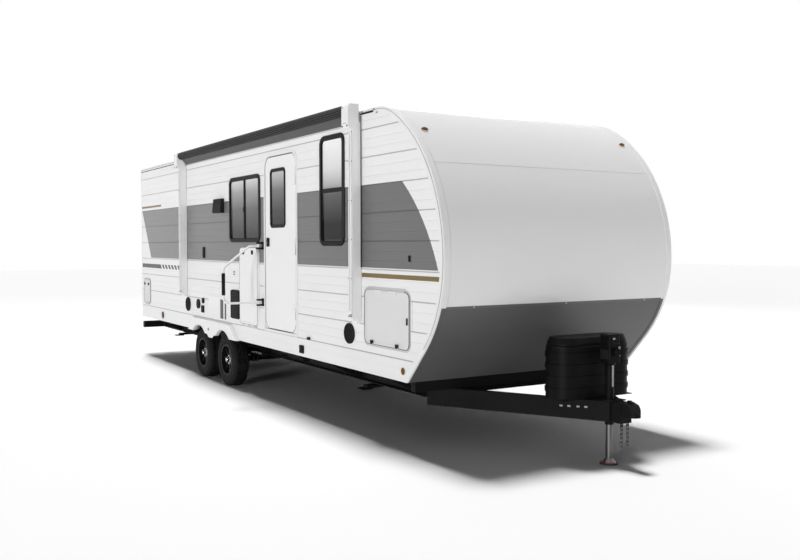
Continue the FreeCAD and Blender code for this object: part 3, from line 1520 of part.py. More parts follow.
def make_wall_fittings():
    """Marker lamps, speakers, inlets, vents and service panels on the walls."""
    marker_z = bottom_z + marker_rise
    lamps = [disc_y(chin_x - marker_back, -half - marker_proud, -half, marker_z, marker_radius)]
    lamps += [mirrored(s) for s in lamps]
    body = side_slab(0, -half, half)
    rise = roof_z - brow_lamp_drop - bulge_z
    run = math.sqrt(upper_radius ** 2 - rise ** 2)
    out = V(run, 0, rise).normalize()
    for side in (-1, 1):
        seat = V(nose_x - upper_radius + run, side * (half - brow_lamp_in), bulge_z + rise)
        oval = Part.Ellipse(V(0, 0, 0), brow_lamp_wide / 2, brow_lamp_high / 2).toShape()
        lamp = Part.Face(Part.Wire(oval)).extrude(V(0, 0, 2 * brow_lamp_proud))
        turn = FreeCAD.Rotation(V(0, 1, 0), V(), out, "ZXY")
        lamp.Placement = FreeCAD.Placement(seat - out * brow_lamp_proud, turn)
        lamps.append(lamp.cut(body))
    save("side_lamps", lamps)

    rear_axle = axle_x[1]
    slider_rear = slide_window[1]
    ports = [speaker(tall_window_x + speaker_ahead), speaker(rear_axle - speaker_behind)]
    ports.append(fitting(door_x + holdback_ahead, holdback_rise, holdback_wide, holdback_high,
                         holdback_proud))
    ports.append(fitting(door_x + outlet_ahead, outlet_rise, outlet_wide, outlet_high, outlet_proud))
    x = slider_rear + water_hatch_ahead
    ports.append(fitting(x, water_hatch_rise, water_hatch_wide, water_hatch_high, water_hatch_proud,
                         water_hatch_radius))
    for rise in (clip_rise, clip_rise + clip_pitch):
        ports.append(fitting(slider_rear + clip_ahead, rise, clip_wide, clip_high, clip_proud))
    ports.append(round_fitting(rear_axle - inlet_behind, inlet_rise, inlet_radius))
    ports.append(round_fitting(rear_axle + fill_ahead, fill_rise, fill_radius))
    ports.append(fitting(rear_axle + socket_ahead, socket_rise, socket_side, socket_side, socket_proud,
                         socket_radius))
    ports.append(fitting(rear_axle + plug_ahead, plug_rise, plug_wide, plug_high, plug_proud, plug_radius))
    ports.append(fitting(chin_x + oval_ahead, oval_rise, oval_wide, oval_high, oval_proud, oval_wide / 2 - 1))
    low = bottom_z + hood_rise
    top = low + hood_high
    front = slider_rear - hood_behind
    y = -half - hood_proud
    lip = hood_proud / 6
    ports.append(prism_yz([(-half, low), (y, low), (y - lip, low + 2 * lip), (y + lip, top), (-half, top)],
                          front - hood_wide, front))
    save("wall_ports", ports)

    middle = axle_x[0] + service_ahead - service_wide / 2
    plates = [fitting(middle, service_rise, service_wide, service_high, service_proud, service_radius)]
    edge = axle_x[0] + service_ahead - louvre_gap
    for wide in (narrow_louvre, wide_louvre):
        edge -= wide / 2
        plates.append(fitting(edge, service_rise - louvre_drop, wide, service_louvre_high,
                              service_louvre_proud, louvre_corner))
        edge -= wide / 2 + louvre_spacing
    save("service_panels", [fuse(plates)])


def make_step():
    """Fold-out entry step: side plates, arms and a tread that stays level."""
    plates = []
    arms = []
    ears = []
    y, z = -half + step_pivot_in, bottom_z - step_pivot_drop
    y_end = y + step_arm
    y_back = y_end + step_bar
    h = step_bar
    low = z - 2 * step_bar
    x0, x1 = door_area[1] + step_side_gap, door_x - step_side_gap
    hole = step_pin + running_gap
    reach = step_plate + step_gap
    for x, inward in ((x0, 1), (x1, -1)):
        plate = prism_yz([(y - step_plate_half, bottom_z), (y + step_plate_half, bottom_z), (y + 2 * h, low),
                          (y - 2 * h, low)], x, x + inward * step_plate)
        plates.append(plate.cut(rod((x - reach, y, z), (x + reach, y, z), hole)))
        xa = x + inward * reach
        bar = box(xa, xa + inward * step_plate, y - h, y_back, z - h, z + h)
        pin = rod((x, y, z), (xa, y, z), step_pin)
        xe = xa + inward * reach
        pin_end = rod((xa + inward * step_plate, y_end, z), (xe + inward * step_plate, y_end, z), step_pin)
        arms.append(fuse([bar, pin, pin_end]))
        ear = box(xe, xe + inward * step_plate, y_end - 2 * h, y_back, z - h, z + 2 * h)
        ears.append(ear.cut(rod((xe - reach, y_end, z), (xe + reach, y_end, z), hole)))
    save("step_frame", plates)
    save("step_arms", arms)
    inset = 2 * reach
    base = z + step_tread_lift
    top = base + step_tread_thick
    y_front = y_back - step_tread
    tread = box(x0 + inset, x1 - inset, y_front, y_back, base, top)
    t = 2 * step_plate
    hollow = box(x0 + inset + t, x1 - inset - t, y_front + t, y_back - t, base - 1, top - step_plate)
    save("step_tread", [fuse([tread.cut(hollow)] + ears)])


os.makedirs("parts", exist_ok=True)
make_walls()
make_skirts()
make_windows()
make_door()
make_hatches()
make_awning()
make_handle()
make_frame()
make_coupler()
make_jack()
make_cover()
make_chains()
make_wheels()
make_rear()
make_legs()
make_roof_fittings()
make_wall_fittings()
make_step()
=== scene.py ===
import math

import bmesh
import bpy
from mathutils import Matrix, Vector


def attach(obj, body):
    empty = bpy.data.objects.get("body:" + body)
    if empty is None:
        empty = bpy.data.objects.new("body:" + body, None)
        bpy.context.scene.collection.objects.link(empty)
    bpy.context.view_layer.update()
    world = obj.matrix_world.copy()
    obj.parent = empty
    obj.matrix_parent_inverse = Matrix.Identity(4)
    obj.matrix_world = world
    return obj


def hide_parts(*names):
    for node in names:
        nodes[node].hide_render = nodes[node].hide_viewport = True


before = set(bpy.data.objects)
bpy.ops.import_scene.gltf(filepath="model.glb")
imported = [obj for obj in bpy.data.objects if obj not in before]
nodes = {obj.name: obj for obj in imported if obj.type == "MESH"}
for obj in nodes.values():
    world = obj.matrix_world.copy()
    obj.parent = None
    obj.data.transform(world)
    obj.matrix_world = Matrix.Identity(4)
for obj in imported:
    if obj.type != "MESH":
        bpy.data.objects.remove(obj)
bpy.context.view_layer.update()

print("frame loaded,", len(nodes), "nodes")


# Shader nodes; an input, by its name or place, takes a link from a socket or a plain value

def feed(tree, node, inputs):
    for label, value in inputs.items():
        if isinstance(value, bpy.types.NodeSocket):
            tree.links.new(value, node.inputs[label])
        else:
            node.inputs[label].default_value = value
    return node


def addNode(tree, kind, inputs, **settings):
    node = tree.nodes.new("ShaderNode" + kind)
    for label, value in settings.items():
        setattr(node, label, value)
    return feed(tree, node, inputs)


def maths(tree, kind, *values):
    return addNode(tree, "Math", dict(enumerate(values)), operation=kind).outputs[0]


def paintOver(tree, under, mask, over):
    # one colour laid over another by a mask
    return addNode(tree, "Mix", {0: mask, 6: under, 7: over}, data_type="RGBA").outputs[2]


def objectPlace(tree):
    return addNode(tree, "TexCoord", {}).outputs["Object"]


def objectAxes(tree):
    return addNode(tree, "SeparateXYZ", {0: objectPlace(tree)}).outputs


def newMaterial(name):
    material = bpy.data.materials.new(name)
    material.use_nodes = True
    tree = material.node_tree
    return material, tree, tree.nodes["Principled BSDF"]


def grey(level):
    return (level, level, level, 1.0)


# Camera, lights and floor

view = {
    "place": (5.303, -5.253, 1.816),
    "yaw": 148.689,
    "pitch": -2.313,
    "lens": 39.76,
    "sensor": 36.0,
    "reach": 200.0,
}


def makeCamera():
    camera = bpy.data.objects.new("camera", bpy.data.cameras.new("camera"))
    camera.data.sensor_width = view["sensor"]
    camera.data.lens = view["lens"]
    camera.data.clip_end = view["reach"]
    yaw, pitch = math.radians(view["yaw"]), math.radians(view["pitch"])
    look = Vector((math.cos(yaw) * math.cos(pitch), math.sin(yaw) * math.cos(pitch), math.sin(pitch)))
    camera.location = view["place"]
    camera.rotation_euler = look.to_track_quat("-Z", "Y").to_euler()
    bpy.context.scene.collection.objects.link(camera)
    bpy.context.scene.camera = camera


studio = {
    # name, direction it shines from, strength, width in degrees
    "suns": (
        ("sun", (-0.30, 0.0, 1.0), 3.05, 12.0),
        ("fillSun", (0.50, -0.86, 0.04), 1.85, 10.0),
    ),
    # name, place, target, watts, size
    "panels": (("rearPanel", (-17.0, 9.0, 7.0), (-7.0, 0.0, 1.5), 500.0, 7.0),),
    "sky": 0.07,
    "floorSize": 60.0,
    "floorLevel": 0.92,
}


def aim(lamp, place, target):
    lamp.location = place
    lamp.rotation_euler = (Vector(target) - Vector(place)).to_track_quat("-Z", "Y").to_euler()
    bpy.context.scene.collection.objects.link(lamp)


def makeLights():
    for name, place, strength, size in studio["suns"]:
        sun = bpy.data.objects.new(name, bpy.data.lights.new(name, "SUN"))
        sun.data.energy = strength
        sun.data.angle = math.radians(size)
        aim(sun, Vector(place) * 10, (0, 0, 0))
    for name, place, target, power, size in studio["panels"]:
        lamp = bpy.data.objects.new(name, bpy.data.lights.new(name, "AREA"))
        lamp.data.energy = power
        lamp.data.size = size
        aim(lamp, place, target)


def makeWorld():
    # white where the camera, gloss or glass sees it, and a dim sky for the light itself
    world = bpy.data.worlds.new("studio")
    bpy.context.scene.world = world
    world.use_nodes = True
    tree = world.node_tree
    path = addNode(tree, "LightPath", {}).outputs
    seen = maths(tree, "ADD", path["Is Camera Ray"], path["Is Glossy Ray"])
    clear = addNode(tree, "Math", {0: seen, 1: path["Is Transmission Ray"]}, operation="ADD", use_clamp=True)
    level = addNode(tree, "MapRange", {"Value": clear.outputs[0], "To Min": studio["sky"], "To Max": 1.0})
    feed(tree, tree.nodes["Background"], {"Color": grey(1.0), "Strength": level.outputs["Result"]})


def makeFloor():
    bm = bmesh.new()
    bmesh.ops.create_grid(bm, x_segments=1, y_segments=1, size=studio["floorSize"])
    mesh = bpy.data.meshes.new("floor")
    bm.to_mesh(mesh)
    bm.free()
    floor = bpy.data.objects.new("floorSheet", mesh)
    bpy.context.scene.collection.objects.link(floor)
    material, tree, paint = newMaterial("floorPaper")
    feed(tree, paint, {"Base Color": grey(studio["floorLevel"]), "Roughness": 0.95, "Specular IOR Level": 0.1})
    mesh.materials.append(material)


makeCamera()
makeLights()
makeWorld()
makeFloor()
print("camera, lights and floor set")


# Surface effects that the finishes share

wear = {
    "dustColour": (0.33, 0.30, 0.27, 1),
    "dustTop": 0.9,         # road dust fades out at this height
    "dustLow": 0.1,
    "driftDetail": 3.0,
    "grainDetail": 4.0,
    "bumpDepth": 0.002,
}


def newGroup(name, inputs, outputs):
    group = bpy.data.node_groups.new(name, "ShaderNodeTree")
    for label, kind, value in inputs:
        socket = group.interface.new_socket(name=label, in_out="INPUT", socket_type="NodeSocket" + kind)
        socket.default_value = value
    for label, kind in outputs:
        group.interface.new_socket(name=label, in_out="OUTPUT", socket_type="NodeSocket" + kind)
    return group, group.nodes.new("NodeGroupInput"), group.nodes.new("NodeGroupOutput")


def buildGrainGroup():
    # fine surface unevenness: roughness that wanders and a height for Bump
    group, source, result = newGroup("surfaceGrain",
                                     (("Scale", "Float", 20.0), ("Low", "Float", 0.3), ("High", "Float", 0.5)),
                                     (("Roughness", "Float"), ("Height", "Float")))
    noise = addNode(group, "TexNoise", {"Vector": objectPlace(group), "Scale": source.outputs["Scale"],
                                        "Detail": wear["grainDetail"]}).outputs["Fac"]
    spread = addNode(group, "MapRange", {"Value": noise, "To Min": source.outputs["Low"],
                                         "To Max": source.outputs["High"]})
    feed(group, result, {"Roughness": spread.outputs["Result"], "Height": noise})
    return group


def buildDriftGroup():
    # slow colour drift plus faint road dust that gathers low down
    group, source, result = newGroup(
        "colourDrift",
        (("Base", "Color", grey(0.8)), ("Drift", "Color", grey(0.6)), ("Scale", "Float", 2.0),
         ("Amount", "Float", 0.2), ("Dust", "Float", 0.0)),
        (("Color", "Color"),))
    given = source.outputs
    noise = addNode(group, "TexNoise", {"Vector": objectPlace(group), "Scale": given["Scale"],
                                        "Detail": wear["driftDetail"]}).outputs["Fac"]
    colour = paintOver(group, given["Base"], maths(group, "MULTIPLY", noise, given["Amount"]), given["Drift"])
    low = addNode(group, "MapRange", {"Value": objectAxes(group)["Z"], "From Min": wear["dustTop"],
                                      "From Max": wear["dustLow"]}).outputs["Result"]
    dust = maths(group, "MULTIPLY", maths(group, "MULTIPLY", low, noise), given["Dust"])
    feed(group, result, {"Color": paintOver(group, colour, dust, wear["dustColour"])})
    return group


grainGroup = buildGrainGroup()
driftGroup = buildDriftGroup()


def addDrift(tree, base, drift, scale, amount, dust):
    return addNode(tree, "Group", {"Base": base, "Drift": drift, "Scale": scale, "Amount": amount, "Dust": dust},
                   node_tree=driftGroup).outputs["Color"]


def addGrain(tree, paint, scale, low, high, strength):
    grain = addNode(tree, "Group", {"Scale": scale, "Low": low, "High": high}, node_tree=grainGroup).outputs
    relief = addNode(tree, "Bump", {"Strength": strength, "Distance": wear["bumpDepth"], "Height": grain["Height"]})
    feed(tree, paint, {"Roughness": grain["Roughness"], "Normal": relief.outputs["Normal"]})


finishes = {
    # name: base, drift, drift scale, drift amount, dust, grain scale, roughness low/high, bump, metallic, coat
    "capGelcoat": (grey(0.77), grey(0.71), 0.8, 0.5, 0.05, 3.0, 0.16, 0.26, 0.02, 0.0, 0.4),
    "guardGelcoat": (grey(0.092), grey(0.102), 0.9, 0.6, 0.02, 3.0, 0.34, 0.44, 0.02, 0.0, 0.0),
    "trimWhite": (grey(0.80), grey(0.72), 3.0, 0.4, 0.10, 60.0, 0.3, 0.42, 0.03, 0.0, 0.0),
    "doorWhite": (grey(0.82), grey(0.76), 1.6, 0.4, 0.06, 160.0, 0.30, 0.40, 0.05, 0.0, 0.0),
    "baggageWhite": (grey(0.68), grey(0.63), 2.4, 0.4, 0.04, 160.0, 0.30, 0.42, 0.06, 0.0, 0.0),
    "hatchWhite": (grey(0.81), grey(0.75), 2.4, 0.4, 0.08, 160.0, 0.30, 0.42, 0.06, 0.0, 0.0),
    "armWhite": (grey(0.79), grey(0.70), 2.0, 0.4, 0.05, 80.0, 0.26, 0.36, 0.02, 0.0, 0.1),
    "acShell": (grey(0.60), grey(0.54), 3.0, 0.5, 0.0, 220.0, 0.42, 0.55, 0.12, 0.0, 0.0),
    "roofMembrane": (grey(0.74), grey(0.62), 1.2, 0.6, 0.0, 120.0, 0.55, 0.75, 0.10, 0.0, 0.0),
    "frameBlack": (grey(0.009), grey(0.014), 4.0, 0.5, 0.03, 140.0, 0.28, 0.42, 0.05, 0.0, 0.0),
    "coverPlastic": (grey(0.0035), grey(0.007), 5.0, 0.6, 0.02, 420.0, 0.34, 0.50, 0.25, 0.0, 0.0),
    "portPlastic": (grey(0.014), grey(0.024), 6.0, 0.6, 0.1, 300.0, 0.45, 0.62, 0.15, 0.0, 0.0),
    "chassisPaint": (grey(0.004), grey(0.008), 2.5, 0.7, 0.03, 40.0, 0.38, 0.62, 0.12, 0.0, 0.0),
    "wheelGloss": (grey(0.006), grey(0.010), 6.0, 0.5, 0.03, 30.0, 0.22, 0.34, 0.01, 0.0, 0.1),
    "tyreRubber": (grey(0.009), grey(0.015), 9.0, 0.7, 0.03, 90.0, 0.62, 0.82, 0.18, 0.0, 0.0),
    "underSheet": (grey(0.008), grey(0.014), 2.0, 0.6, 0.05, 60.0, 0.5, 0.7, 0.15, 0.0, 0.0),
    "awningVinyl": (grey(0.018), grey(0.026), 3.0, 0.6, 0.05, 380.0, 0.5, 0.66, 0.2, 0.0, 0.0),
    "brightSteel": (grey(0.55), grey(0.42), 8.0, 0.6, 0.2, 50.0, 0.16, 0.30, 0.03, 1.0, 0.0),
    "chromeSteel": (grey(0.70), grey(0.62), 8.0, 0.4, 0.1, 20.0, 0.06, 0.14, 0.01, 1.0, 0.0),
    "chainSteel": (grey(0.10), grey(0.05), 20.0, 0.8, 0.2, 90.0, 0.3, 0.5, 0.15, 1.0, 0.0),
    "millAlloy": (grey(0.58), grey(0.46), 4.0, 0.5, 0.1, 90.0, 0.28, 0.42, 0.04, 1.0, 0.0),
    "cabinVinyl": ((0.20, 0.15, 0.10, 1), (0.13, 0.09, 0.06, 1), 7.0, 0.8, 0.0, 70.0, 0.4, 0.55, 0.1, 0.0, 0.0),
    "liningBoard": (grey(0.42), grey(0.36), 2.0, 0.5, 0.0, 60.0, 0.5, 0.7, 0.05, 0.0, 0.0),
    "amberLens": ((0.17, 0.072, 0.006, 1), (0.10, 0.038, 0.004, 1), 30.0, 0.6, 0.0, 160.0, 0.2, 0.3, 0.1, 0.0, 0.1),
    "redLens": ((0.30, 0.012, 0.01, 1), (0.2, 0.006, 0.006, 1), 30.0, 0.6, 0.0, 160.0, 0.1, 0.2, 0.1, 0.0, 0.5),
    "paleRim": (grey(0.55), grey(0.45), 20.0, 0.5, 0.1, 120.0, 0.25, 0.4, 0.03, 0.0, 0.0),
    "sealRubber": (grey(0.010), grey(0.016), 12.0, 0.6, 0.1, 260.0, 0.55, 0.75, 0.1, 0.0, 0.0),
    "borderGrey": (grey(0.12), grey(0.10), 6.0, 0.5, 0.1, 120.0, 0.3, 0.45, 0.03, 0.0, 0.0),
    "insertGrey": (grey(0.42), grey(0.34), 9.0, 0.5, 0.1, 120.0, 0.3, 0.45, 0.03, 0.0, 0.0),
    "flapVinyl": (grey(0.060), grey(0.050), 3.0, 0.6, 0.05, 380.0, 0.5, 0.66, 0.2, 0.0, 0.0),
    # dark grey of the rings that stand for the shaded gaps round door and hatch leaves: painted shade
    "lipGrey": (grey(0.07), grey(0.05), 9.0, 0.5, 0.1, 120.0, 0.4, 0.55, 0.05, 0.0, 0.0),
    "jackSteel": (grey(0.13), grey(0.09), 8.0, 0.5, 0.1, 60.0, 0.26, 0.38, 0.03, 1.0, 0.0),
    "tagGrey": (grey(0.34), grey(0.22), 60.0, 0.7, 0.1, 120.0, 0.35, 0.5, 0.05, 0.0, 0.0),
    "louvreGrey": (grey(0.10), grey(0.07), 9.0, 0.5, 0.1, 120.0, 0.4, 0.55, 0.05, 0.0, 0.0),
    "stripeVinyl": (grey(0.050), grey(0.040), 9.0, 0.5, 0.05, 300.0, 0.5, 0.66, 0.2, 0.0, 0.0),
    "darkScrew": (grey(0.05), grey(0.03), 40.0, 0.6, 0.1, 120.0, 0.3, 0.5, 0.05, 0.6, 0.0),
}
darkFinishes = ("amberLens", "frameBlack", "coverPlastic", "portPlastic", "chassisPaint", "tyreRubber",
                "underSheet", "sealRubber", "awningVinyl", "wheelGloss")
darkSpecular = 0.05
paints = {}


def makeFinish(name, values):
    base, drift, driftScale, amount, dust, scale, low, high, bump, metallic, coat = values
    material, tree, paint = newMaterial(name)
    colour = addDrift(tree, base, drift, driftScale, amount, dust)
    feed(tree, paint, {"Base Color": colour, "Metallic": metallic, "Coat Weight": coat})
    if name in darkFinishes:
        paint.inputs["Specular IOR Level"].default_value = darkSpecular
    addGrain(tree, paint, scale, low, high, bump)
    paints[name] = material
    return tree, paint, colour


for name, values in finishes.items():
    makeFinish(name, values)


# Painted aluminium siding, with the grey band, the stripes and painted shade along the lap seams; a patch is rear
# x, front x, low z, top z

graphics = {
    "base": (grey(0.80), grey(0.72), 1.1, 0.35, 0.10),
    "grain": (240.0, 0.28, 0.40, 0.06),
    "band": (1.603, 2.36),
    "bandArc": (-2.323, 0.918, 1.843),      # centre x, centre z, radius of the band's front end
    "arcFrom": -2.4,
    "bandRear": (-9.37, 2.35, -8.884, 1.605),
    "fade": (-8.4, 6.4),                    # where the band starts to deepen, and over what length
    "gold": (-1.885, -0.45, 1.513, 1.553),
    "rearGold": (-9.45, -8.305, 2.398, 2.428),
    "dark": (-9.48, -8.383, 1.441, 1.503),
    "slashes": (-8.383, -7.30, 7, 0.60, -1.1),      # rear x, front x, count, painted share, lean
    "panelLine": (-1.0065, -1.0015, 1.085, 1.334),
    "bandColour": (0.185, 0.185, 0.19, 1),
    "deepBand": (0.118, 0.118, 0.122, 1),
    "goldColour": (0.157, 0.10, 0.02, 1),
    "darkColour": (0.02, 0.02, 0.022, 1),
    "seamFrom": 0.823,
    # painted shade lines: the shade in each lap seam's groove and faint shade along the two shallow flutes of each
    # lap; pitch, offset, half height, colour, strength
    "seamShadeLines": ((0.2555, 0.0, 0.0055, grey(0.04), 0.45), (0.2555, 0.0852, 0.004, grey(0.05), 0.04),
              (0.2555, 0.1703, 0.004, grey(0.05), 0.04)),
}


def makeSiding():
    material, tree, paint = newMaterial("sidingPaint")
    axes = objectAxes(tree)
    x, z = axes["X"], axes["Z"]

    def calc(kind, *values):
        return maths(tree, kind, *values)

    def between(value, low, high):
        return calc("MULTIPLY", calc("GREATER_THAN", value, low), calc("LESS_THAN", value, high))

    def patch(area):
        return calc("MULTIPLY", between(x, *area[:2]), between(z, *area[2:]))

    cx, cz, radius = graphics["bandArc"]
    away = calc("ADD", calc("POWER", calc("SUBTRACT", x, cx), 2.0), calc("POWER", calc("SUBTRACT", z, cz), 2.0))
    inArc = calc("MAXIMUM", calc("LESS_THAN", away, radius ** 2), calc("LESS_THAN", x, graphics["arcFrom"]))
    x1, z1, x2, z2 = graphics["bandRear"]
    rearEdge = calc("ADD", calc("MULTIPLY", calc("SUBTRACT", z, z1), (x2 - x1) / (z2 - z1)), x1)
    inBand = calc("MULTIPLY", inArc, calc("GREATER_THAN", x, rearEdge))
    band = calc("MULTIPLY", between(z, *graphics["band"]), inBand)
    start, run = graphics["fade"]
    fade = calc("MINIMUM", calc("MAXIMUM", calc("DIVIDE", calc("SUBTRACT", x, start), run), 0.0), 1.0)
    low, high, count, share, lean = graphics["slashes"]
    leaned = calc("SUBTRACT", x, calc("MULTIPLY", calc("SUBTRACT", z, graphics["dark"][2]), lean))
    step = calc("FRACT", calc("MULTIPLY", calc("SUBTRACT", leaned, low), count / (high - low)))
    slashes = calc("MULTIPLY", calc("LESS_THAN", step, share), patch((low, high) + graphics["dark"][2:]))
    layers = [(band, "bandColour"), (calc("MULTIPLY", band, fade), "deepBand"),
              (calc("MULTIPLY", patch(graphics["panelLine"]), 0.5), "darkColour"),
              (patch(graphics["gold"]), "goldColour"), (patch(graphics["rearGold"]), "goldColour"),
              (calc("MAXIMUM", slashes, patch(graphics["dark"])), "darkColour")]
    colour = addDrift(tree, *graphics["base"])
    for mask, over in layers:
        colour = paintOver(tree, colour, mask, graphics[over])
    # painted shade: dark lines laid along the seam grooves and the flutes
    for pitch, offset, half, line, strength in graphics["seamShadeLines"]:
        rise = calc("DIVIDE", calc("SUBTRACT", z, graphics["seamFrom"] + offset), pitch)
        near = calc("ABSOLUTE", calc("SUBTRACT", calc("FRACT", calc("ADD", rise, 10.5)), 0.5))
        mask = calc("MULTIPLY", calc("LESS_THAN", near, half / pitch), strength)
        colour = paintOver(tree, colour, mask, line)
    feed(tree, paint, {"Base Color": colour})
    addGrain(tree, paint, *graphics["grain"])
    paints["sidingPaint"] = material


# Mouldings are white; over the curved front their lap takes the colour beside it

lapPaint = {
    "fromX": -1.62,
    "withinY": (-1.281, 1.272),
    "borderZ": 1.299,
}


def makeTrimPaint():
    tree, paint, colour = makeFinish("lapTrim", finishes["trimWhite"])
    axes = objectAxes(tree)
    low, high = lapPaint["withinY"]
    within = maths(tree, "MULTIPLY", maths(tree, "GREATER_THAN", axes["Y"], low),
                   maths(tree, "LESS_THAN", axes["Y"], high))
    lap = maths(tree, "MULTIPLY", maths(tree, "GREATER_THAN", axes["X"], lapPaint["fromX"]), within)
    upper = maths(tree, "MULTIPLY", lap, maths(tree, "GREATER_THAN", axes["Z"], lapPaint["borderZ"]))
    colour = paintOver(tree, colour, lap, finishes["guardGelcoat"][0])
    feed(tree, paint, {"Base Color": paintOver(tree, colour, upper, finishes["capGelcoat"][0])})


# Tinted glass: each pane coloured by height and grey level, dark tint below and a painted sky reflection rising
# pale towards the top

glassTintAndPaintedSky = {
    "tall": ((1.842, 0.10), (1.868, 0.008), (2.02, 0.012), (2.30, 0.10), (2.34, 0.16), (2.36, 0.36), (2.56, 0.70),
             (2.85, 0.90)),
    "slider": ((1.88, 0.03), (1.95, 0.045), (2.25, 0.14), (2.45, 0.34), (2.60, 0.66)),
    "door": ((2.03, 0.03), (2.20, 0.06), (2.42, 0.17), (2.62, 0.50)),
    "tallFrom": -2.8,       # the tall pane stands ahead of this x
    "roughness": 0.04,
    "specular": 0.1,
}


def glassRamp(tree, z, stops):
    low, high = stops[0][0], stops[-1][0]
    rise = addNode(tree, "MapRange", {"Value": z, "From Min": low, "From Max": high})
    ramp = addNode(tree, "ValToRGB", {"Fac": rise.outputs["Result"]})
    marks = ramp.color_ramp.elements
    while len(marks) < len(stops):
        marks.new(0.5)
    for mark, (height, level) in zip(marks, stops):
        mark.position = (height - low) / (high - low)
        mark.color = grey(level)
    return ramp.outputs["Color"]


def makeGlass(name, stops, tallStops=None):
    material, tree, paint = newMaterial(name)
    axes = objectAxes(tree)
    # painted sky reflection: the ramp's pale upper tones stand for the sky seen in the glass, its dark lower tones
    # are the tint
    colour = glassRamp(tree, axes["Z"], stops)
    if tallStops:
        ahead = maths(tree, "GREATER_THAN", axes["X"], glassTintAndPaintedSky["tallFrom"])
        colour = paintOver(tree, colour, ahead, glassRamp(tree, axes["Z"], tallStops))
    feed(tree, paint, {"Base Color": colour, "Roughness": glassTintAndPaintedSky["roughness"],
                       "Specular IOR Level": glassTintAndPaintedSky["specular"]})
    paints[name] = material


makeSiding()
makeTrimPaint()
makeGlass("windowTintAndPaintedSky", glassTintAndPaintedSky["slider"], glassTintAndPaintedSky["tall"])
makeGlass("doorTintAndPaintedSky", glassTintAndPaintedSky["door"])
print("materials made:", len(paints))


# CAD pieces that keep their own shape, with their finishes

kept = {
    "capGelcoat": ("front_cap",),
    "guardGelcoat": ("front_guard",),
    "sidingPaint": ("side_siding",),
    "lapTrim": ("edge_trim",),
    "trimWhite": ("rear_wall", "door_frame"),
    "doorWhite": ("entry_door",),
    "hatchWhite": ("service_panels", "table_flap", "fender_skirts"),
    "baggageWhite": ("baggage_door_curb", "baggage_door_street", "rear_hatch"),
    "armWhite": ("awning_arms", "assist_handle"),
    "acShell": ("roof_ac", "roof_vents"),
    "roofMembrane": ("roof",),
    "liningBoard": ("curb_wall", "street_wall"),
    "frameBlack": ("window_frames", "handle_brackets"),
    "coverPlastic": ("bottle_cover", "jack_head"),
    "portPlastic": ("wall_ports",),
    "chassisPaint": ("main_frame", "crossmembers", "tongue_frame", "coupler", "axles", "springs", "rear_bumper",
                     "step_frame", "step_arms", "step_tread", "leg_front_curb", "leg_front_street",
                     "leg_rear_curb", "leg_rear_street"),
    "wheelGloss": ("rim_front_curb", "rim_front_street", "rim_rear_curb", "rim_rear_street"),
    "tyreRubber": ("tyre_front_curb", "tyre_front_street", "tyre_rear_curb", "tyre_rear_street"),
    "underSheet": ("underbelly", "wheel_boxes", "floor"),
    "awningVinyl": ("awning_roller",),
    "flapVinyl": ("awning_fabric",),
    "millAlloy": ("awning_rail", "hinge_strips"),
    "jackSteel": ("jack_leg",),
    "chainSteel": ("safety_chains",),
    "amberLens": ("side_lamps",),
    "redLens": ("tail_lamps",),
    "windowTintAndPaintedSky": ("window_glass",),
    "doorTintAndPaintedSky": ("door_glass",),
}


def paintKept():
    for finish, names in kept.items():
        for name in names:
            mesh = nodes[name].data
            mesh.materials.clear()
            mesh.materials.append(paints[finish])


paintKept()
print("kept pieces painted")


# Shapes that the pieces share; an area in a side wall is its front x, rear x, low z and top z

side = {"curb": -1, "street": 1}
wallY = 1.295


def inset(area, by):
    front, rear, low, top = area
    return front - by, rear + by, low + by, top - by


def onlyVerts(items):
    return [item for item in items if isinstance(item, bmesh.types.BMVert)]


def turned(bm, profile, centre, axis, steps):
    # lathe work: each profile point is a radius and a run along the axis
    axis = Vector(axis).normalized()
    across = axis.orthogonal().normalized()
    points = [bm.verts.new(Vector(centre) + across * radius + axis * run) for radius, run in profile]
    edges = [bm.edges.new(pair) for pair in zip(points, points[1:])]
    bmesh.ops.spin(bm, geom=points + edges, cent=centre, axis=axis, angle=math.tau, steps=steps, use_merge=True)


def block(bm, corner, other, ease, steps=2, turn=None):
    # box between two corners with its edges eased, turned about its own middle
    low, high = Vector(map(min, corner, other)), Vector(map(max, corner, other))
    old = set(bm.verts)
    made = bmesh.ops.create_cube(bm, size=1.0)["verts"]
    bmesh.ops.scale(bm, vec=high - low, verts=made)
    edges = list({edge for vert in made for edge in vert.link_edges})
    bmesh.ops.bevel(bm, geom=edges, offset=ease, offset_type="OFFSET", segments=steps, profile=0.5,
                    affect="EDGES", material=-1)
    fresh = [vert for vert in bm.verts if vert not in old]
    place = Matrix.Translation((high + low) / 2)
    bmesh.ops.transform(bm, matrix=place @ turn if turn else place, verts=fresh)
    return fresh


def roundedFace(bm, wide, high, radius, steps):
    # rounded rectangle, standing in the side plane about the origin
    corners = bmesh.ops.create_grid(bm, x_segments=1, y_segments=1, size=0.5)["verts"]
    bmesh.ops.scale(bm, vec=(wide, high, 1.0), verts=corners)
    bmesh.ops.rotate(bm, matrix=Matrix.Rotation(math.pi / 2, 3, "X"), verts=corners)
    made = bmesh.ops.bevel(bm, geom=corners, offset=radius, offset_type="OFFSET", segments=steps, profile=0.5,
                           affect="VERTICES", material=-1)
    return made["verts"][0].link_faces[0]


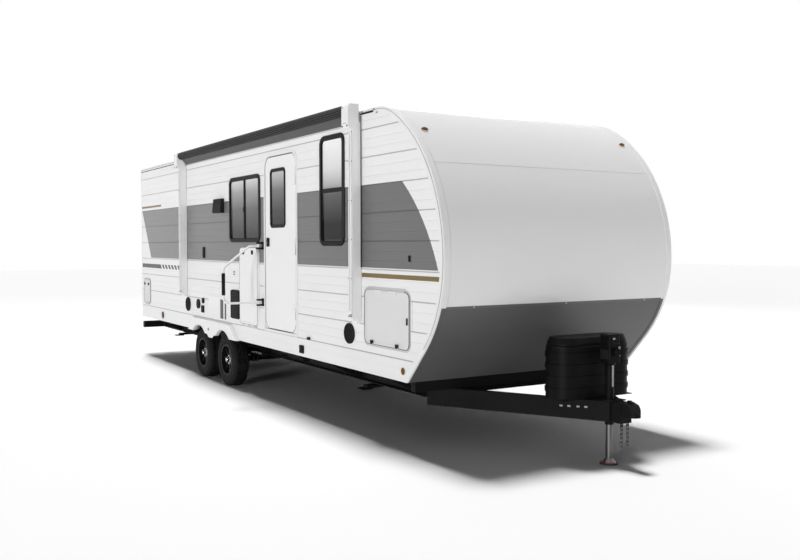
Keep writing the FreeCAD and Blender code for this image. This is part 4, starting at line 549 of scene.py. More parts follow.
def plate(bm, area, near, far, radius, hole=0.0, steps=8, ease=0.0):
    # rounded plate over an area from y = far out to near, or a frame of width hole
    front, rear, low, top = area
    old = set(bm.verts)
    face = roundedFace(bm, front - rear, top - low, radius, steps)
    faces = [face]
    if hole:
        faces = bmesh.ops.inset_individual(bm, faces=[face], thickness=hole, depth=0.0)["faces"]
        bmesh.ops.delete(bm, geom=[face], context="FACES")
    outer = onlyVerts(bmesh.ops.extrude_face_region(bm, geom=faces, use_keep_orig=True)["geom"])
    bmesh.ops.translate(bm, vec=(0, near - far, 0), verts=outer)
    if ease:
        rim = {edge for vert in outer for edge in vert.link_edges if edge.other_vert(vert) in outer}
        rim = [edge for edge in rim if edge.calc_face_angle(0.0) > 1.0]
        bmesh.ops.bevel(bm, geom=rim, offset=ease, offset_type="OFFSET", segments=2, profile=0.5,
                        affect="EDGES", material=-1)
    fresh = [vert for vert in bm.verts if vert not in old]
    bmesh.ops.translate(bm, vec=((front + rear) / 2, far, (low + top) / 2), verts=fresh)


def rimPlate(bm, area, face, row):
    # frame on a wall: how far it outgrows the area, its outer and inner depth, then what plate takes
    grow, outer, inner, *rest = row
    sign = math.copysign(1.0, face)
    plate(bm, inset(area, -grow), face + sign * outer, face + sign * inner, *rest)


def wallPlates(bm, centre, face, rows):
    # plates on a wall: reach ahead, behind, below and above the centre, depths, corner radius, easing
    x, z = centre
    sign = math.copysign(1.0, face)
    for ahead, behind, below, above, outer, inner, radius, ease in rows:
        area = (x + ahead, x - behind, z - below, z + above)
        plate(bm, area, face + sign * outer, face + sign * inner, radius, ease=ease)


def wallBlock(bm, centre, face, row):
    # box on a wall: each corner is a step along x, a depth outwards and a step up, then the easing
    *corners, ease = row
    sign = math.copysign(1.0, face)
    block(bm, *((centre[0] + x, face + sign * out, centre[1] + z) for x, out, z in corners), ease)


def wallRibs(bm, area, face, heights, shape):
    # bars across an area of the curb wall: end gap, outer and inner depth, half height, easing
    gap, outer, inner, half, ease = shape
    for z in heights:
        block(bm, (area[1] + gap, face - outer, z - half), (area[0] - gap, face - inner, z + half), ease)


def screw(bm, centre, axis, radius, steps=10):
    # pan head with a socket in it
    turned(bm, [(0.0, radius * 0.28), (radius * 0.42, radius * 0.28), (radius * 0.46, radius * 0.62),
                (radius * 0.8, radius * 0.5), (radius, radius * 0.15), (radius, -radius * 0.1)],
           centre, axis, steps)


def settle(name, bm, finish, body, replaced=(), sharp=32.0):
    # closes a piece: doubles merged, faces outwards, finish, body and the nodes it stands for
    bmesh.ops.remove_doubles(bm, verts=bm.verts, dist=0.000002)
    bmesh.ops.recalc_face_normals(bm, faces=bm.faces)
    mesh = bpy.data.meshes.new(name)
    bm.to_mesh(mesh)
    bm.free()
    mesh.shade_smooth()
    mesh.set_sharp_from_angle(angle=math.radians(sharp))
    mesh.materials.append(paints[finish])
    piece = bpy.data.objects.new(name, mesh)
    bpy.context.scene.collection.objects.link(piece)
    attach(piece, body)
    if replaced:
        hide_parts(*replaced)


# Tyres: a turned carcass with grooves round it and notches cut across the shoulders

tyre = {
    "axles": (("front", -5.52), ("rear", -6.43)),
    "middleY": 1.1905,
    "hubZ": 0.334,
    "steps": 180,
    # radius and run from the middle of the tread
    "sidewall": ((0.189, 0.070), (0.190, 0.0800), (0.200, 0.0925), (0.214, 0.0985), (0.230, 0.1003),
                 (0.234, 0.1020), (0.238, 0.1003), (0.262, 0.1016), (0.284, 0.0996), (0.288, 0.1008),
                 (0.292, 0.0986), (0.309, 0.0940), (0.320, 0.0868), (0.3275, 0.0790), (0.3315, 0.0680)),
    "bead": (0.186, 0.068),
    "grooves": (0.052, 0.018, -0.018, -0.052),
    "grooveHalf": 0.0042,
    "grooveLow": 0.3255,
    "tread": 0.3338,
    # least radius, run from and to, and which of every three steps is cut
    "notches": ((0.322, 0.058, 0.088, 0), (0.330, 0.024, 0.046, 1)),
    "notchDepth": 0.981,
}


def wheels():
    for end, hubX in tyre["axles"]:
        for word, sign in side.items():
            yield end + "_" + word, hubX, sign


def tyreProfile():
    half = list(tyre["sidewall"])
    tread, wide = [], tyre["grooveHalf"]
    for groove in tyre["grooves"]:
        tread += [(tyre["tread"], groove + wide), (tyre["grooveLow"], groove + wide * 0.6),
                  (tyre["grooveLow"], groove - wide * 0.6), (tyre["tread"], groove - wide)]
    inner = [(radius, -run) for radius, run in reversed(half)]
    radius, run = tyre["bead"]
    return half + tread + inner + [(radius, -run), (radius, run), half[0]]


def makeTyres():
    for place, hubX, sign in wheels():
        centre = Vector((hubX, sign * tyre["middleY"], tyre["hubZ"]))
        bm = bmesh.new()
        turned(bm, tyreProfile(), centre, (0, sign, 0), tyre["steps"])
        bmesh.ops.remove_doubles(bm, verts=bm.verts, dist=0.000002)
        cuts = []
        for face in bm.faces:
            away = face.calc_center_median() - centre
            run, radius = abs(away.y), math.hypot(away.x, away.z)
            step = int((math.atan2(away.z, away.x) % math.tau) / math.tau * tyre["steps"])
            if any(radius > least and low < run < high and step % 3 == turn
                   for least, low, high, turn in tyre["notches"]):
                cuts.append(face)
        fresh = onlyVerts(bmesh.ops.extrude_face_region(bm, geom=cuts)["geom"])
        bmesh.ops.scale(bm, vec=(tyre["notchDepth"], 1.0, tyre["notchDepth"]), space=Matrix.Translation(-centre),
                        verts=fresh)
        settle("treaded_tyre_" + place, bm, "tyreRubber", "wheel_" + place, ("tyre_" + place,), 28.0)


# Wheel trim: chromed centre cap, lug nuts and valve stem

hub = {
    "faceY": 1.2405,
    "cap": ((0.0, 0.0462), (0.01218, 0.0462), (0.021576, 0.044), (0.022968, 0.042), (0.02958, 0.041),
            (0.0348, 0.0342), (0.0348, 0.006), (0.0388, 0.002), (0.0388, -0.001)),
    "nuts": 6,
    "nutCircle": 0.0495,
    "nut": ((0.0, 0.017), (0.0046, 0.017), (0.00736, 0.014), (0.0092, 0.011), (0.0092, 0.003),
            (0.01058, 0.001), (0.01058, -0.001)),
    "valveAt": (0.168, 0.004, 0.02),
    "valve": ((0.0, 0.030), (0.0034, 0.030), (0.0038, 0.027), (0.0038, 0.018), (0.0030, 0.017), (0.0034, 0.004),
              (0.006, 0.0), (0.006, -0.03)),
}


def makeWheelTrim():
    for place, hubX, sign in wheels():
        out = (0, sign, 0)
        middle = Vector((hubX, sign * hub["faceY"], tyre["hubZ"]))
        bm = bmesh.new()
        turned(bm, hub["cap"], middle, out, 40)
        for index in range(hub["nuts"]):
            angle = math.tau * (index + 0.5) / hub["nuts"]
            spot = middle + Vector((math.cos(angle), 0, math.sin(angle))) * hub["nutCircle"]
            turned(bm, hub["nut"], spot, out, 6)
        settle("hub_trim_" + place, bm, "chromeSteel", "wheel_" + place, sharp=25.0)
        bm = bmesh.new()
        x, y, z = hub["valveAt"]
        turned(bm, hub["valve"], (hubX + x, sign * (hub["faceY"] + y), tyre["hubZ"] + z), out, 12)
        settle("valve_" + place, bm, "portPlastic", "wheel_" + place)


# Windows: rubber beads round the panes, sash rails of the sliders, small latches and the frames' screws

glazing = {
    # side, then the opening's area
    "panes": (("curb", -2.22, -2.75, 1.80, 2.892), ("curb", -4.32, -5.32, 1.84, 2.64),
              ("street", -2.70, -3.70, 1.80, 2.50), ("street", -7.60, -8.60, 1.80, 2.50)),
    "tallPane": 1.0,        # a pane taller than this has no sash
    "frameIn": 0.0405,
    "bead": 0.009,
    "beadY": (1.2955, 1.2905),
    "radius": 0.052,
    "sashGap": 0.026,
    "sashHalf": 0.005,
    "sashY": (1.2905, 1.2965),
    "latchX": (-0.052, -0.034),
    "latchHalf": 0.03,
    "latchY": (1.2915, 1.2985),
    "screwIn": 0.021,
    "screwGap": 0.24,
    "screwY": 1.3088,
    "screwRadius": 0.0042,
}


def makeGlazing():
    beads, screws = bmesh.new(), bmesh.new()
    for word, *area in glazing["panes"]:
        sign = side[word]
        near, far = (sign * y for y in glazing["beadY"])
        pane = inset(area, glazing["frameIn"])
        plate(beads, pane, near, far, glazing["radius"], glazing["bead"])
        front, rear, low, top = pane
        if top - low < glazing["tallPane"]:
            middle, height = (front + rear) / 2, (low + top) / 2
            near, far = (sign * y for y in glazing["sashY"])
            half = glazing["sashHalf"]
            for spot in (middle - glazing["sashGap"], middle + glazing["sashGap"]):
                block(beads, (spot - half, near, low), (spot + half, far, top), 0.0012)
            near, far = (sign * y for y in glazing["latchY"])
            first, last = (middle + x for x in glazing["latchX"])
            half = glazing["latchHalf"]
            block(beads, (first, near, height - half), (last, far, height + half), 0.002)
        front, rear, low, top = area
        across, up = int((front - rear) / glazing["screwGap"]), int((top - low) / glazing["screwGap"])
        front, rear, low, top = inset(area, glazing["screwIn"])
        spots = [(area[1] + (area[0] - area[1]) * index / across, z) for index in range(1, across)
                 for z in (low, top)]
        spots += [(x, area[2] + (area[3] - area[2]) * index / up) for index in range(1, up) for x in (rear, front)]
        for x, z in spots:
            screw(screws, (x, sign * glazing["screwY"], z), (0, sign, 0), glazing["screwRadius"], 8)
    settle("window_beads", beads, "sealRubber", "chassis")
    settle("window_screws", screws, "darkScrew", "chassis")


# Entry door: black window frame, rubber seal, a dark ring of painted shade for the gap round the leaf, paddle lock
# with its bolt and keyways

door = {
    "face": -1.299,
    "window": (-3.600, -4.015, 2.000, 2.660),
    "leaf": (-3.326, -4.174, 0.852, 2.804),
    # rows as rimPlate takes them
    "frame": (0.001, 0.0092, 0.0002, 0.061, 0.0315, 8, 0.0025),
    "bead": (-0.030, 0.0035, -0.001, 0.034, 0.007),
    # dark ring on the leaf near its edge, painted shade standing in for the gap round the leaf
    "seal": (0.0, -0.0075, -0.019, 0.124, 0.0052, 12),
    "lip": (-0.007, 0.0014, -0.002, 0.118, 0.0055, 12),
    # piece, area, its rows, finish and body
    "rims": (("door_window_frame", "window", ("frame", "bead"), "frameBlack", "entry_door"),
             ("door_seal", "leaf", ("seal",), "sealRubber", "chassis"),
             ("door_lip", "leaf", ("lip",), "lipGrey", "entry_door")),
    "lockAt": (-4.079, 1.840),
    "lock": ((0.0335, 0.0335, 0.0515, 0.0515, 0.0148, 0.0002, 0.012, 0.0025),
             (0.0255, 0.0115, 0.020, 0.030, 0.0215, 0.014, 0.008, 0.002)),
    "boltAt": (-4.097, -1.299, 1.856),
    "bolt": ((0.0, 0.0205), (0.007, 0.0205), (0.0095, 0.0185), (0.0095, 0.012)),
    "boltKeyway": ((0.0, 0.0212), (0.0048, 0.0212), (0.0055, 0.0205), (0.0055, 0.0195)),
    "keyAt": (-4.069, -1.299, 1.832),
    "keyway": ((0.0, 0.0225), (0.0048, 0.0225), (0.0055, 0.0215), (0.0055, 0.0195)),
    "outwards": (0, -1, 0),
}


def makeDoorTrim():
    for name, area, rows, finish, body in door["rims"]:
        bm = bmesh.new()
        for row in rows:
            rimPlate(bm, door[area], door["face"], door[row])
        settle(name, bm, finish, body)
    bm = bmesh.new()
    wallPlates(bm, door["lockAt"], door["face"], door["lock"])
    turned(bm, door["bolt"], door["boltAt"], door["outwards"], 20)
    settle("door_lock_body", bm, "portPlastic", "entry_door")
    bm = bmesh.new()
    turned(bm, door["boltKeyway"], door["boltAt"], door["outwards"], 20)
    turned(bm, door["keyway"], door["keyAt"], door["outwards"], 20)
    settle("door_lock_keyways", bm, "brightSteel", "entry_door")


# Hatches: rubber seals, dark rings of painted shade for the gaps round the leaves, black catches and locks

hatch = {
    "baggage": (-1.045, -1.825, 0.905, 1.405),
    "rear": (-8.930, -9.290, 0.869, 1.255),
    "table": (-4.360, -4.930, 0.855, 1.780),
    # body, area, y of its face and its ring of painted gap shade; the first three have seals
    "leaves": (("baggage_door_curb", "baggage", -1.301, "lip"), ("baggage_door_street", "baggage", 1.301, "lip"),
               ("rear_hatch", "rear", -1.301, "lip"), ("table_flap", "table", -1.324, "tableLip")),
    # rows as rimPlate takes them
    "seal": (0.0046, -0.0045, -0.015, 0.064, 0.0046, 10),
    # dark rings on the leaves near their edges, painted shade standing in for the gaps round them
    "lip": (-0.002, 0.0012, -0.002, 0.058, 0.0038, 10),
    "tableLip": (-0.002, 0.0012, -0.002, 0.068, 0.0038, 10),
    "faceY": 1.301,
    "catches": ((-1.240, 0.931), (-1.680, 0.931)),
    "catch": ((0.0228, 0.0228, 0.0148, 0.0148, 0.0128, 0.0002, 0.005, 0.0015),
              (0.012, 0.012, 0.019, -0.002, 0.0165, 0.012, 0.004, 0.001)),
    "lockAt": (-1.074, 1.155),
    "lock": ((0.0078, 0.0078, 0.0328, 0.0328, 0.0108, 0.0002, 0.0075, 0.002),),
    "rearLocks": ((-9.238, 1.174), (-9.030, 1.174)),
    "rearLock": ((0.0, 0.0125), (0.011, 0.0125), (0.0125, 0.011), (0.0205, 0.0108), (0.0212, 0.0095),
                 (0.0212, 0.0)),
    "keyway": ((-0.0012, 0.0135, -0.006), (0.0012, 0.012, 0.006), 0.0003),
    "tableY": -1.324,
    "tableCatches": ((-4.785, 1.720), (-4.505, 1.720)),
    "tableCatch": ((0.0185, 0.0185, 0.0255, 0.0255, 0.0128, 0.0002, 0.006, 0.002),),
    "tableGrip": ((-0.010, 0.0165, -0.004), (0.010, 0.012, 0.018), 0.002),
}


def makeHatchTrim():
    bm = bmesh.new()
    for body, area, face, lip in hatch["leaves"][:3]:
        rimPlate(bm, hatch[area], face, hatch["seal"])
    settle("hatch_seals", bm, "sealRubber", "chassis")
    for body, area, face, lip in hatch["leaves"]:
        bm = bmesh.new()
        rimPlate(bm, hatch[area], face, hatch[lip])
        settle(body + "_lip", bm, "lipGrey", body)
    for word, sign in side.items():
        bm, face = bmesh.new(), sign * hatch["faceY"]
        for centre in hatch["catches"]:
            wallPlates(bm, centre, face, hatch["catch"])
        wallPlates(bm, hatch["lockAt"], face, hatch["lock"])
        settle("baggage_locks_" + word, bm, "portPlastic", "baggage_door_" + word)
    bm, face = bmesh.new(), -hatch["faceY"]
    for x, z in hatch["rearLocks"]:
        turned(bm, hatch["rearLock"], (x, face, z), (0, -1, 0), 28)
        wallBlock(bm, (x, z), face, hatch["keyway"])
    settle("rear_hatch_locks", bm, "portPlastic", "rear_hatch")
    bm = bmesh.new()
    for centre in hatch["tableCatches"]:
        wallPlates(bm, centre, hatch["tableY"], hatch["tableCatch"])
        wallBlock(bm, centre, hatch["tableY"], hatch["tableGrip"])
    settle("table_catches", bm, "portPlastic", "table_flap")


# Lamps: side and brow markers with rims, tail lamps with ribs, clearance bar

lamps = {
    "side": (-1.148, 0.723),
    "rearSide": (-8.263, 0.723),
    "rearProud": 0.004,
    "rim": ((0.035, -0.001), (0.035, 0.0042), (0.0336, 0.0065), (0.0315, 0.0060), (0.0315, -0.001)),
    "lens": ((0.0, 0.0128), (0.007, 0.0126), (0.0084, 0.0116), (0.0175, 0.0108), (0.0189, 0.0098),
             (0.0252, 0.0088), (0.03115, 0.0055), (0.03115, -0.001)),
    "housing": ((0.034, 0.0085), (0.050, 0.0085), (0.054, 0.005), (0.054, -0.001)),
    "brow": (-1.0371, 1.155, 2.790),
    "browOut": (0.6434, 0.0, 0.7655),
    "browSize": (0.074, 0.042, 1.7),
    "browRim": ((0.5, -0.004), (0.5, 0.0010), (0.48, 0.0022), (0.44, 0.0022), (0.44, -0.004)),
    "browLens": ((0.0, 0.0130), (0.15, 0.0126), (0.18, 0.0112), (0.30, 0.0104), (0.41, 0.0078), (0.435, -0.004)),
    "rearX": -9.42,
    "tail": (1.000, 0.955),
    "tailRibs": (-0.088, -0.066, -0.044, -0.022, 0.0, 0.022, 0.044, 0.066, 0.088),
    "bar": (-1.185, -0.150, 0.0, 0.150, 1.185),
    "barZ": 2.964,
    # depth from and to, half width, half height, easing and steps
    "tailRim": (-0.012, 0.0005, 0.110, 0.055, 0.004, 2),
    "tailLens": (-0.0265, -0.010, 0.102, 0.047, 0.006, 3),
    "tailRib": (-0.028, -0.025, 0.0022, 0.039, 0.001, 2),
    "barRim": (-0.006, 0.0005, 0.040, 0.014, 0.002, 2),
    "barLens": (-0.0155, -0.005, 0.034, 0.0105, 0.004, 3),
}


def rearBlock(bm, y, z, size):
    first, last, wide, high, ease, steps = lamps[size]
    rear = lamps["rearX"]
    block(bm, (rear + first, y - wide, z - high), (rear + last, y + wide, z + high), ease, steps)


def makeLamps():
    rims, amber, red, dark = bmesh.new(), bmesh.new(), bmesh.new(), bmesh.new()
    turn = Vector(lamps["browOut"]).to_track_quat("Z", "Y").to_matrix().to_4x4()
    for sign in side.values():
        rearX, rearZ = lamps["rearSide"]
        place = (lamps["side"][0], sign * wallY, lamps["side"][1])
        rearPlace = (rearX, sign * (wallY + lamps["rearProud"]), rearZ)
        for bm, profile, centre in ((rims, "rim", place), (amber, "lens", place), (dark, "rim", rearPlace),
                                    (red, "lens", rearPlace), (dark, "housing", (rearX, sign * wallY, rearZ))):
            turned(bm, lamps[profile], centre, (0, sign, 0), 36)
        x, y, z = lamps["brow"]
        shape = Matrix.Translation((x, sign * y, z)) @ turn @ Matrix.Diagonal(lamps["browSize"] + (1.0,))
        for bm, profile in ((rims, "browRim"), (amber, "browLens")):
            old = set(bm.verts)
            turned(bm, lamps[profile], (0, 0, 0), (0, 0, 1), 36)
            bmesh.ops.transform(bm, matrix=shape, verts=[vert for vert in bm.verts if vert not in old])
        y, z = sign * lamps["tail"][0], lamps["tail"][1]
        rearBlock(rims, y, z, "tailRim")
        rearBlock(red, y, z, "tailLens")
        for away in lamps["tailRibs"]:
            rearBlock(red, y + away, z, "tailRib")
    for y in lamps["bar"]:
        rearBlock(rims, y, lamps["barZ"], "barRim")
        rearBlock(red, y, lamps["barZ"], "barLens")
    settle("amber_marker_lenses", amber, "amberLens", "chassis", ("side_lamps",), 24.0)
    settle("red_lamp_lenses", red, "redLens", "chassis", ("tail_lamps",), 24.0)
    settle("lamp_rims", rims, "paleRim", "chassis")
    settle("marker_housings", dark, "portPlastic", "chassis")


# Front cap: border strip with rivets over the guard, inserts and screws along the side mouldings

front = {
    # centre x, centre z, radius, then the arc's top and bottom angle
    "brow": (-1.5893, 2.44, 0.6, 90.0, 63.39),
    "upper": (-1.97, 1.68, 1.45, 63.39, 0.0),
    "lower": (-1.6203, 1.68, 1.1003, 0.0, -42.49),
    "borderZ": 1.299,
    "borderHalf": 0.011,
    "borderProud": 0.0032,
    "borderY": 1.262,
    "borderRivets": (-0.958, 0.044, 1.013),
    "mouldY": (1.2985, 1.3028),
    "insertFrom": 0.012,
    "insertTo": 0.020,
    "roofZ": 3.04,
    "roofInsert": (-9.40, -1.5893),
    "screwGap": 0.115,
    "screwIn": 0.025,
    "screwY": 1.2988,
    "roofScrews": (-9.36, 7.72, 33),      # first x, run, count
}


def onArc(name, angle, out=0.0):
    x, z, radius = front[name][:3]
    return Vector((x + (radius + out) * math.cos(angle), 0, z + (radius + out) * math.sin(angle)))


def arcs():
    for name in ("brow", "upper", "lower"):
        top, bottom = (math.radians(value) for value in front[name][3:])
        yield name, top, bottom


def sweepArc(bm, name, fromAngle, toAngle, points):
    # points are (out from the arc, y); spun about the arc's centre
    x, z = front[name][:2]
    verts = [bm.verts.new(onArc(name, fromAngle, out) + Vector((0, y, 0))) for out, y in points]
    edges = [bm.edges.new(pair) for pair in zip(verts, verts[1:])]
    steps = max(6, int(abs(math.degrees(toAngle - fromAngle)) / 2))
    bmesh.ops.spin(bm, geom=verts + edges, cent=(x, 0, z), axis=(0, 1, 0), angle=fromAngle - toAngle, steps=steps)


def makeCapBorder():
    bm = bmesh.new()
    proud, y = front["borderProud"], front["borderY"]
    middle = math.asin((front["borderZ"] - front["lower"][1]) / front["lower"][2])
    half = front["borderHalf"] / front["lower"][2]
    profile = ((-half, 0.0), (-half * 0.85, proud), (half * 0.85, proud), (half, 0.0))
    line = [bm.verts.new(onArc("lower", middle + turn, out) - Vector((0, y, 0))) for turn, out in profile]
    edges = [bm.edges.new(pair) for pair in zip(line, line[1:])]
    far = onlyVerts(bmesh.ops.extrude_edge_only(bm, edges=edges)["geom"])
    bmesh.ops.translate(bm, vec=(0, 2 * y, 0), verts=far)
    settle("cap_border_strip", bm, "borderGrey", "chassis")
    bm = bmesh.new()
    out = Vector((math.cos(middle), 0, math.sin(middle)))
    for y in front["borderRivets"]:
        screw(bm, onArc("lower", middle, proud) + Vector((0, y, 0)), out, 0.0075)
    settle("cap_border_rivets", bm, "millAlloy", "chassis")


def makeMouldInserts():
    inserts, screws = bmesh.new(), bmesh.new()
    near, far = front["insertFrom"], front["insertTo"]
    rear, ahead = front["roofInsert"]
    start, run, count = front["roofScrews"]
    for sign in side.values():
        low, high = (sign * y for y in front["mouldY"])
        out = (0, sign, 0)
        points = [(-near, low), (-near - 0.001, high), (-far + 0.001, high), (-far, low)]
        for name, top, bottom in arcs():
            sweepArc(inserts, name, top, bottom, points)
            number = max(2, int((top - bottom) * front[name][2] / front["screwGap"]))
            for index in range(number):
                place = onArc(name, top + (bottom - top) * (index + 0.5) / number, -front["screwIn"])
                screw(screws, place + Vector((0, sign * front["screwY"], 0)), out, 0.0036, 6)
        block(inserts, (rear, low, front["roofZ"] - far), (ahead, high, front["roofZ"] - near), 0.001)
        for index in range(count):
            x = start + run * index / (count - 1)
            screw(screws, (x, sign * front["screwY"], front["roofZ"] - front["screwIn"]), out, 0.0036, 6)
    settle("mould_inserts", inserts, "insertGrey", "chassis")
    settle("mould_screws", screws, "trimWhite", "chassis")


# Awning: dark guides and screws on the arms, head screws, end caps and ribs of the roller, gaskets and strips of
# painted shade

awning = {
    "arms": (-1.931, -7.075),
    "screwZ": (1.145, 1.50, 1.86, 2.22, 2.58, 2.85),
    "screwX": 0.031,
    "screwY": -1.3952,
    "guideX": 0.0115,
    "guideHalf": 0.002,
    "guideY": (-1.3908, -1.387),
    "guideZ": (1.16, 2.84),
    "headShift": -0.028,
    "headY": -1.433,
    "headScrews": ((-0.046, 2.904, 0.0085), (0.046, 2.904, 0.0085), (-0.046, 3.076, 0.0065)),
    "headLine": ((-0.030, -0.0016, 2.928), (0.030, 0.001, 2.931)),
    "roller": (-1.371, 3.060),
    "rollerCap": ((0.0, 0.0105), (0.012, 0.0105), (0.014, 0.004), (0.03672, 0.003), (0.03978, 0.0065),
                  (0.04947, 0.0055), (0.04947, -0.012)),
    "capShift": 0.002,
    "rollerX": (-7.038, -2.024),
    "ribs": 12,
    "ribTurn": (-80.0, 250.0),
    "ribHalf": 0.0016,
    "ribOut": 0.0514,
    # black strips along the wall, partly gaskets and partly painted shade: the long strip under the roof edge at
    # the rear is a painted shadow line under the roof moulding, the tall strip beside the front arm a painted
    # shadow between arm and wall; two corners and the easing of each strip along the wall
    "gasketsAndShadeStrips": (((-1.89, -1.3095, 3.006), (-1.66, -1.2985, 3.020), 0.002),
                ((-1.878, -1.3125, 1.60), (-1.871, -1.3055, 3.00), 0.002),
                ((-1.877, -1.3115, 3.028), (-1.853, -1.2985, 3.0345), 0.002),
                ((-1.650, -1.3115, 3.026), (-1.630, -1.2985, 3.0325), 0.002),
                ((-1.600, -1.3115, 2.992), (-1.580, -1.2985, 2.9985), 0.002),
                ((-9.38, -1.3065, 2.990), (-7.20, -1.2985, 2.998), 0.0015),
                ((-7.140, -1.330, 2.900), (-7.128, -1.300, 3.000), 0.002)),
}


def makeAwningTrim():
    guides, screws, heads = bmesh.new(), bmesh.new(), bmesh.new()
    half = awning["guideHalf"]
    (near, far), (low, top) = awning["guideY"], awning["guideZ"]
    for arm in awning["arms"]:
        for z in awning["screwZ"]:
            for step in (-awning["screwX"], awning["screwX"]):
                screw(screws, (arm + step, awning["screwY"], z), (0, -1, 0), 0.0052, 8)
        for x in (arm - awning["guideX"], arm + awning["guideX"]):
            block(guides, (x - half, near, low), (x + half, far, top), 0.0006)
        head = Vector((arm + awning["headShift"], awning["headY"], 0))
        for x, z, size in awning["headScrews"]:
            screw(heads, head + Vector((x, -0.0002, z)), (0, -1, 0), size, 12)
        first, last = awning["headLine"]
        block(heads, head + Vector(first), head + Vector(last), 0.0005)
    settle("arm_guides", guides, "insertGrey", "chassis")
    settle("arm_screws", screws, "darkScrew", "chassis")
    settle("head_screws", heads, "sealRubber", "chassis")
    bm = bmesh.new()
    y, z = awning["roller"]
    rear, ahead = awning["rollerX"]
    for x, out in ((ahead, 1), (rear, -1)):
        turned(bm, awning["rollerCap"], (x - out * awning["capShift"], y, z), (out, 0, 0), 40)
    settle("roller_caps", bm, "portPlastic", "chassis")
    bm = bmesh.new()
    thin, away = awning["ribHalf"], awning["ribOut"]
    start, run = awning["ribTurn"]
    for index in range(awning["ribs"]):
        angle = math.radians(start + run * index / (awning["ribs"] - 1))
        fresh = block(bm, (rear + 0.02, -thin, -thin), (ahead - 0.02, thin, thin), 0.0005, 1,
                      Matrix.Rotation(angle, 4, "X"))
        bmesh.ops.translate(bm, vec=(0, y - away * math.cos(angle), z + away * math.sin(angle)), verts=fresh)
    settle("fabric_ribs", bm, "stripeVinyl", "chassis")
    bm = bmesh.new()
    # gaskets, and painted shadow lines under the rear roof edge and beside the front arm
    for row in awning["gasketsAndShadeStrips"]:
        block(bm, *row)
    settle("awning_gaskets_and_shade_strips", bm, "sealRubber", "chassis")


# Wall ports: speaker grilles, vent ribs, inlets, fillers, lids and louvres

ports = {
    "speakers": ((-2.124, 0.968), (-6.998, 0.968)),
    "speaker": ((0.0995, 0.0), (0.0995, 0.0125), (0.095, 0.0167), (0.087, 0.0165), (0.085, 0.0145)),
    "ringAt": (0.012, 0.0215, 0.031, 0.0405, 0.050, 0.0595, 0.069, 0.0785),
    "ring": ((-0.0022, 0.0145), (-0.001, 0.0163), (0.001, 0.0163), (0.0022, 0.0145)),
    "screws": 4,
    "screwCircle": 0.0905,
    "screwOut": 0.0163,
    "inletAt": (-6.55, 0.996),
    "inlet": ((0.0, 0.019), (0.0363, 0.019), (0.04092, 0.0155), (0.05676, 0.0145), (0.0594, 0.0175),
              (0.066, 0.0165), (0.067, 0.0)),
    "inletLatch": ((-0.006, 0.024, -0.0495), (0.006, 0.016, -0.0231), 0.002),
    "fillAt": (-6.35, 1.051),
    "fill": ((0.0, 0.0175), (0.0152, 0.0175), (0.0171, 0.013), (0.0304, 0.012), (0.03192, 0.015),
             (0.038, 0.0135), (0.0388, 0.0)),
    # centre, then rows as wallPlates takes them
    "covers": (((-6.37, 0.935), ((0.0485, 0.0485, 0.0485, 0.0485, 0.0148, 0.0, 0.010, 0.003),
                                 (0.032, 0.032, 0.036, 0.028, 0.019, 0.014, 0.012, 0.0015))),
               ((-6.31, 1.705), ((0.0355, 0.0355, 0.0755, 0.0755, 0.0128, 0.0, 0.012, 0.003),
                                 (0.023, 0.023, 0.055, 0.045, 0.018, 0.012, 0.010, 0.002)))),
    "smallCovers": (((-1.046, 1.695), ((0.0135, 0.0135, 0.028, 0.028, 0.0088, 0.0, 0.013, 0.002),)),
                    ((-3.2, 0.706), ((0.052, 0.052, 0.04264, 0.04264, 0.012, 0.0, 0.014, 0.003),
                                     (0.0312, 0.0312, 0.0156, 0.026, 0.017, 0.011, 0.008, 0.0015)))),
    "clips": ((-5.175, 1.442), (-5.175, 1.472)),
    "clip": ((-0.010, 0.013, -0.006), (0.010, 0.0, 0.006), 0.002),
    # area, y of its face, heights of the ribs and their shape
    "tall": ((-4.9925, -5.2775, 0.89, 1.25), -1.311, (0.930, 0.965, 1.0, 1.035, 1.105, 1.140, 1.175, 1.210),
             (0.022, 0.006, -0.002, 0.004, 0.0015)),
    "tallLip": (-0.008, 0.0035, -0.001, 0.012, 0.008),
    "hood": ((-5.520, -5.815, 2.22, 2.40), -1.345, (2.25, 2.274, 2.298, 2.322, 2.346, 2.37),
             (0.02, 0.0012, -0.001, 0.002, 0.0006)),
    "louvres": ((-5.466, -5.495, 0.86, 1.10), (-5.57, -5.66, 0.86, 1.10)),
    "louvreY": -1.3085,
    "louvrePlate": (0.003, 0.0, -0.007, 0.006, 0.0, 8, 0.0015),
    "louvreCount": 14,
    "louvre": (0.003, 0.003, -0.001, 0.0035, 0.0012),
}


def makeSpeakers():
    bm = bmesh.new()
    for x, z in ports["speakers"]:
        centre = Vector((x, -wallY, z))
        turned(bm, ports["speaker"], centre, (0, -1, 0), 48)
        for middle in ports["ringAt"]:
            turned(bm, [(middle + wide, out) for wide, out in ports["ring"]], centre, (0, -1, 0), 40)
        for index in range(ports["screws"]):
            angle = math.tau * (index + 0.5) / ports["screws"]
            away = Vector((math.cos(angle), 0, math.sin(angle))) * ports["screwCircle"]
            screw(bm, centre + away - Vector((0, ports["screwOut"], 0)), (0, -1, 0), 0.0032, 6)
    settle("speaker_grilles", bm, "portPlastic", "chassis")


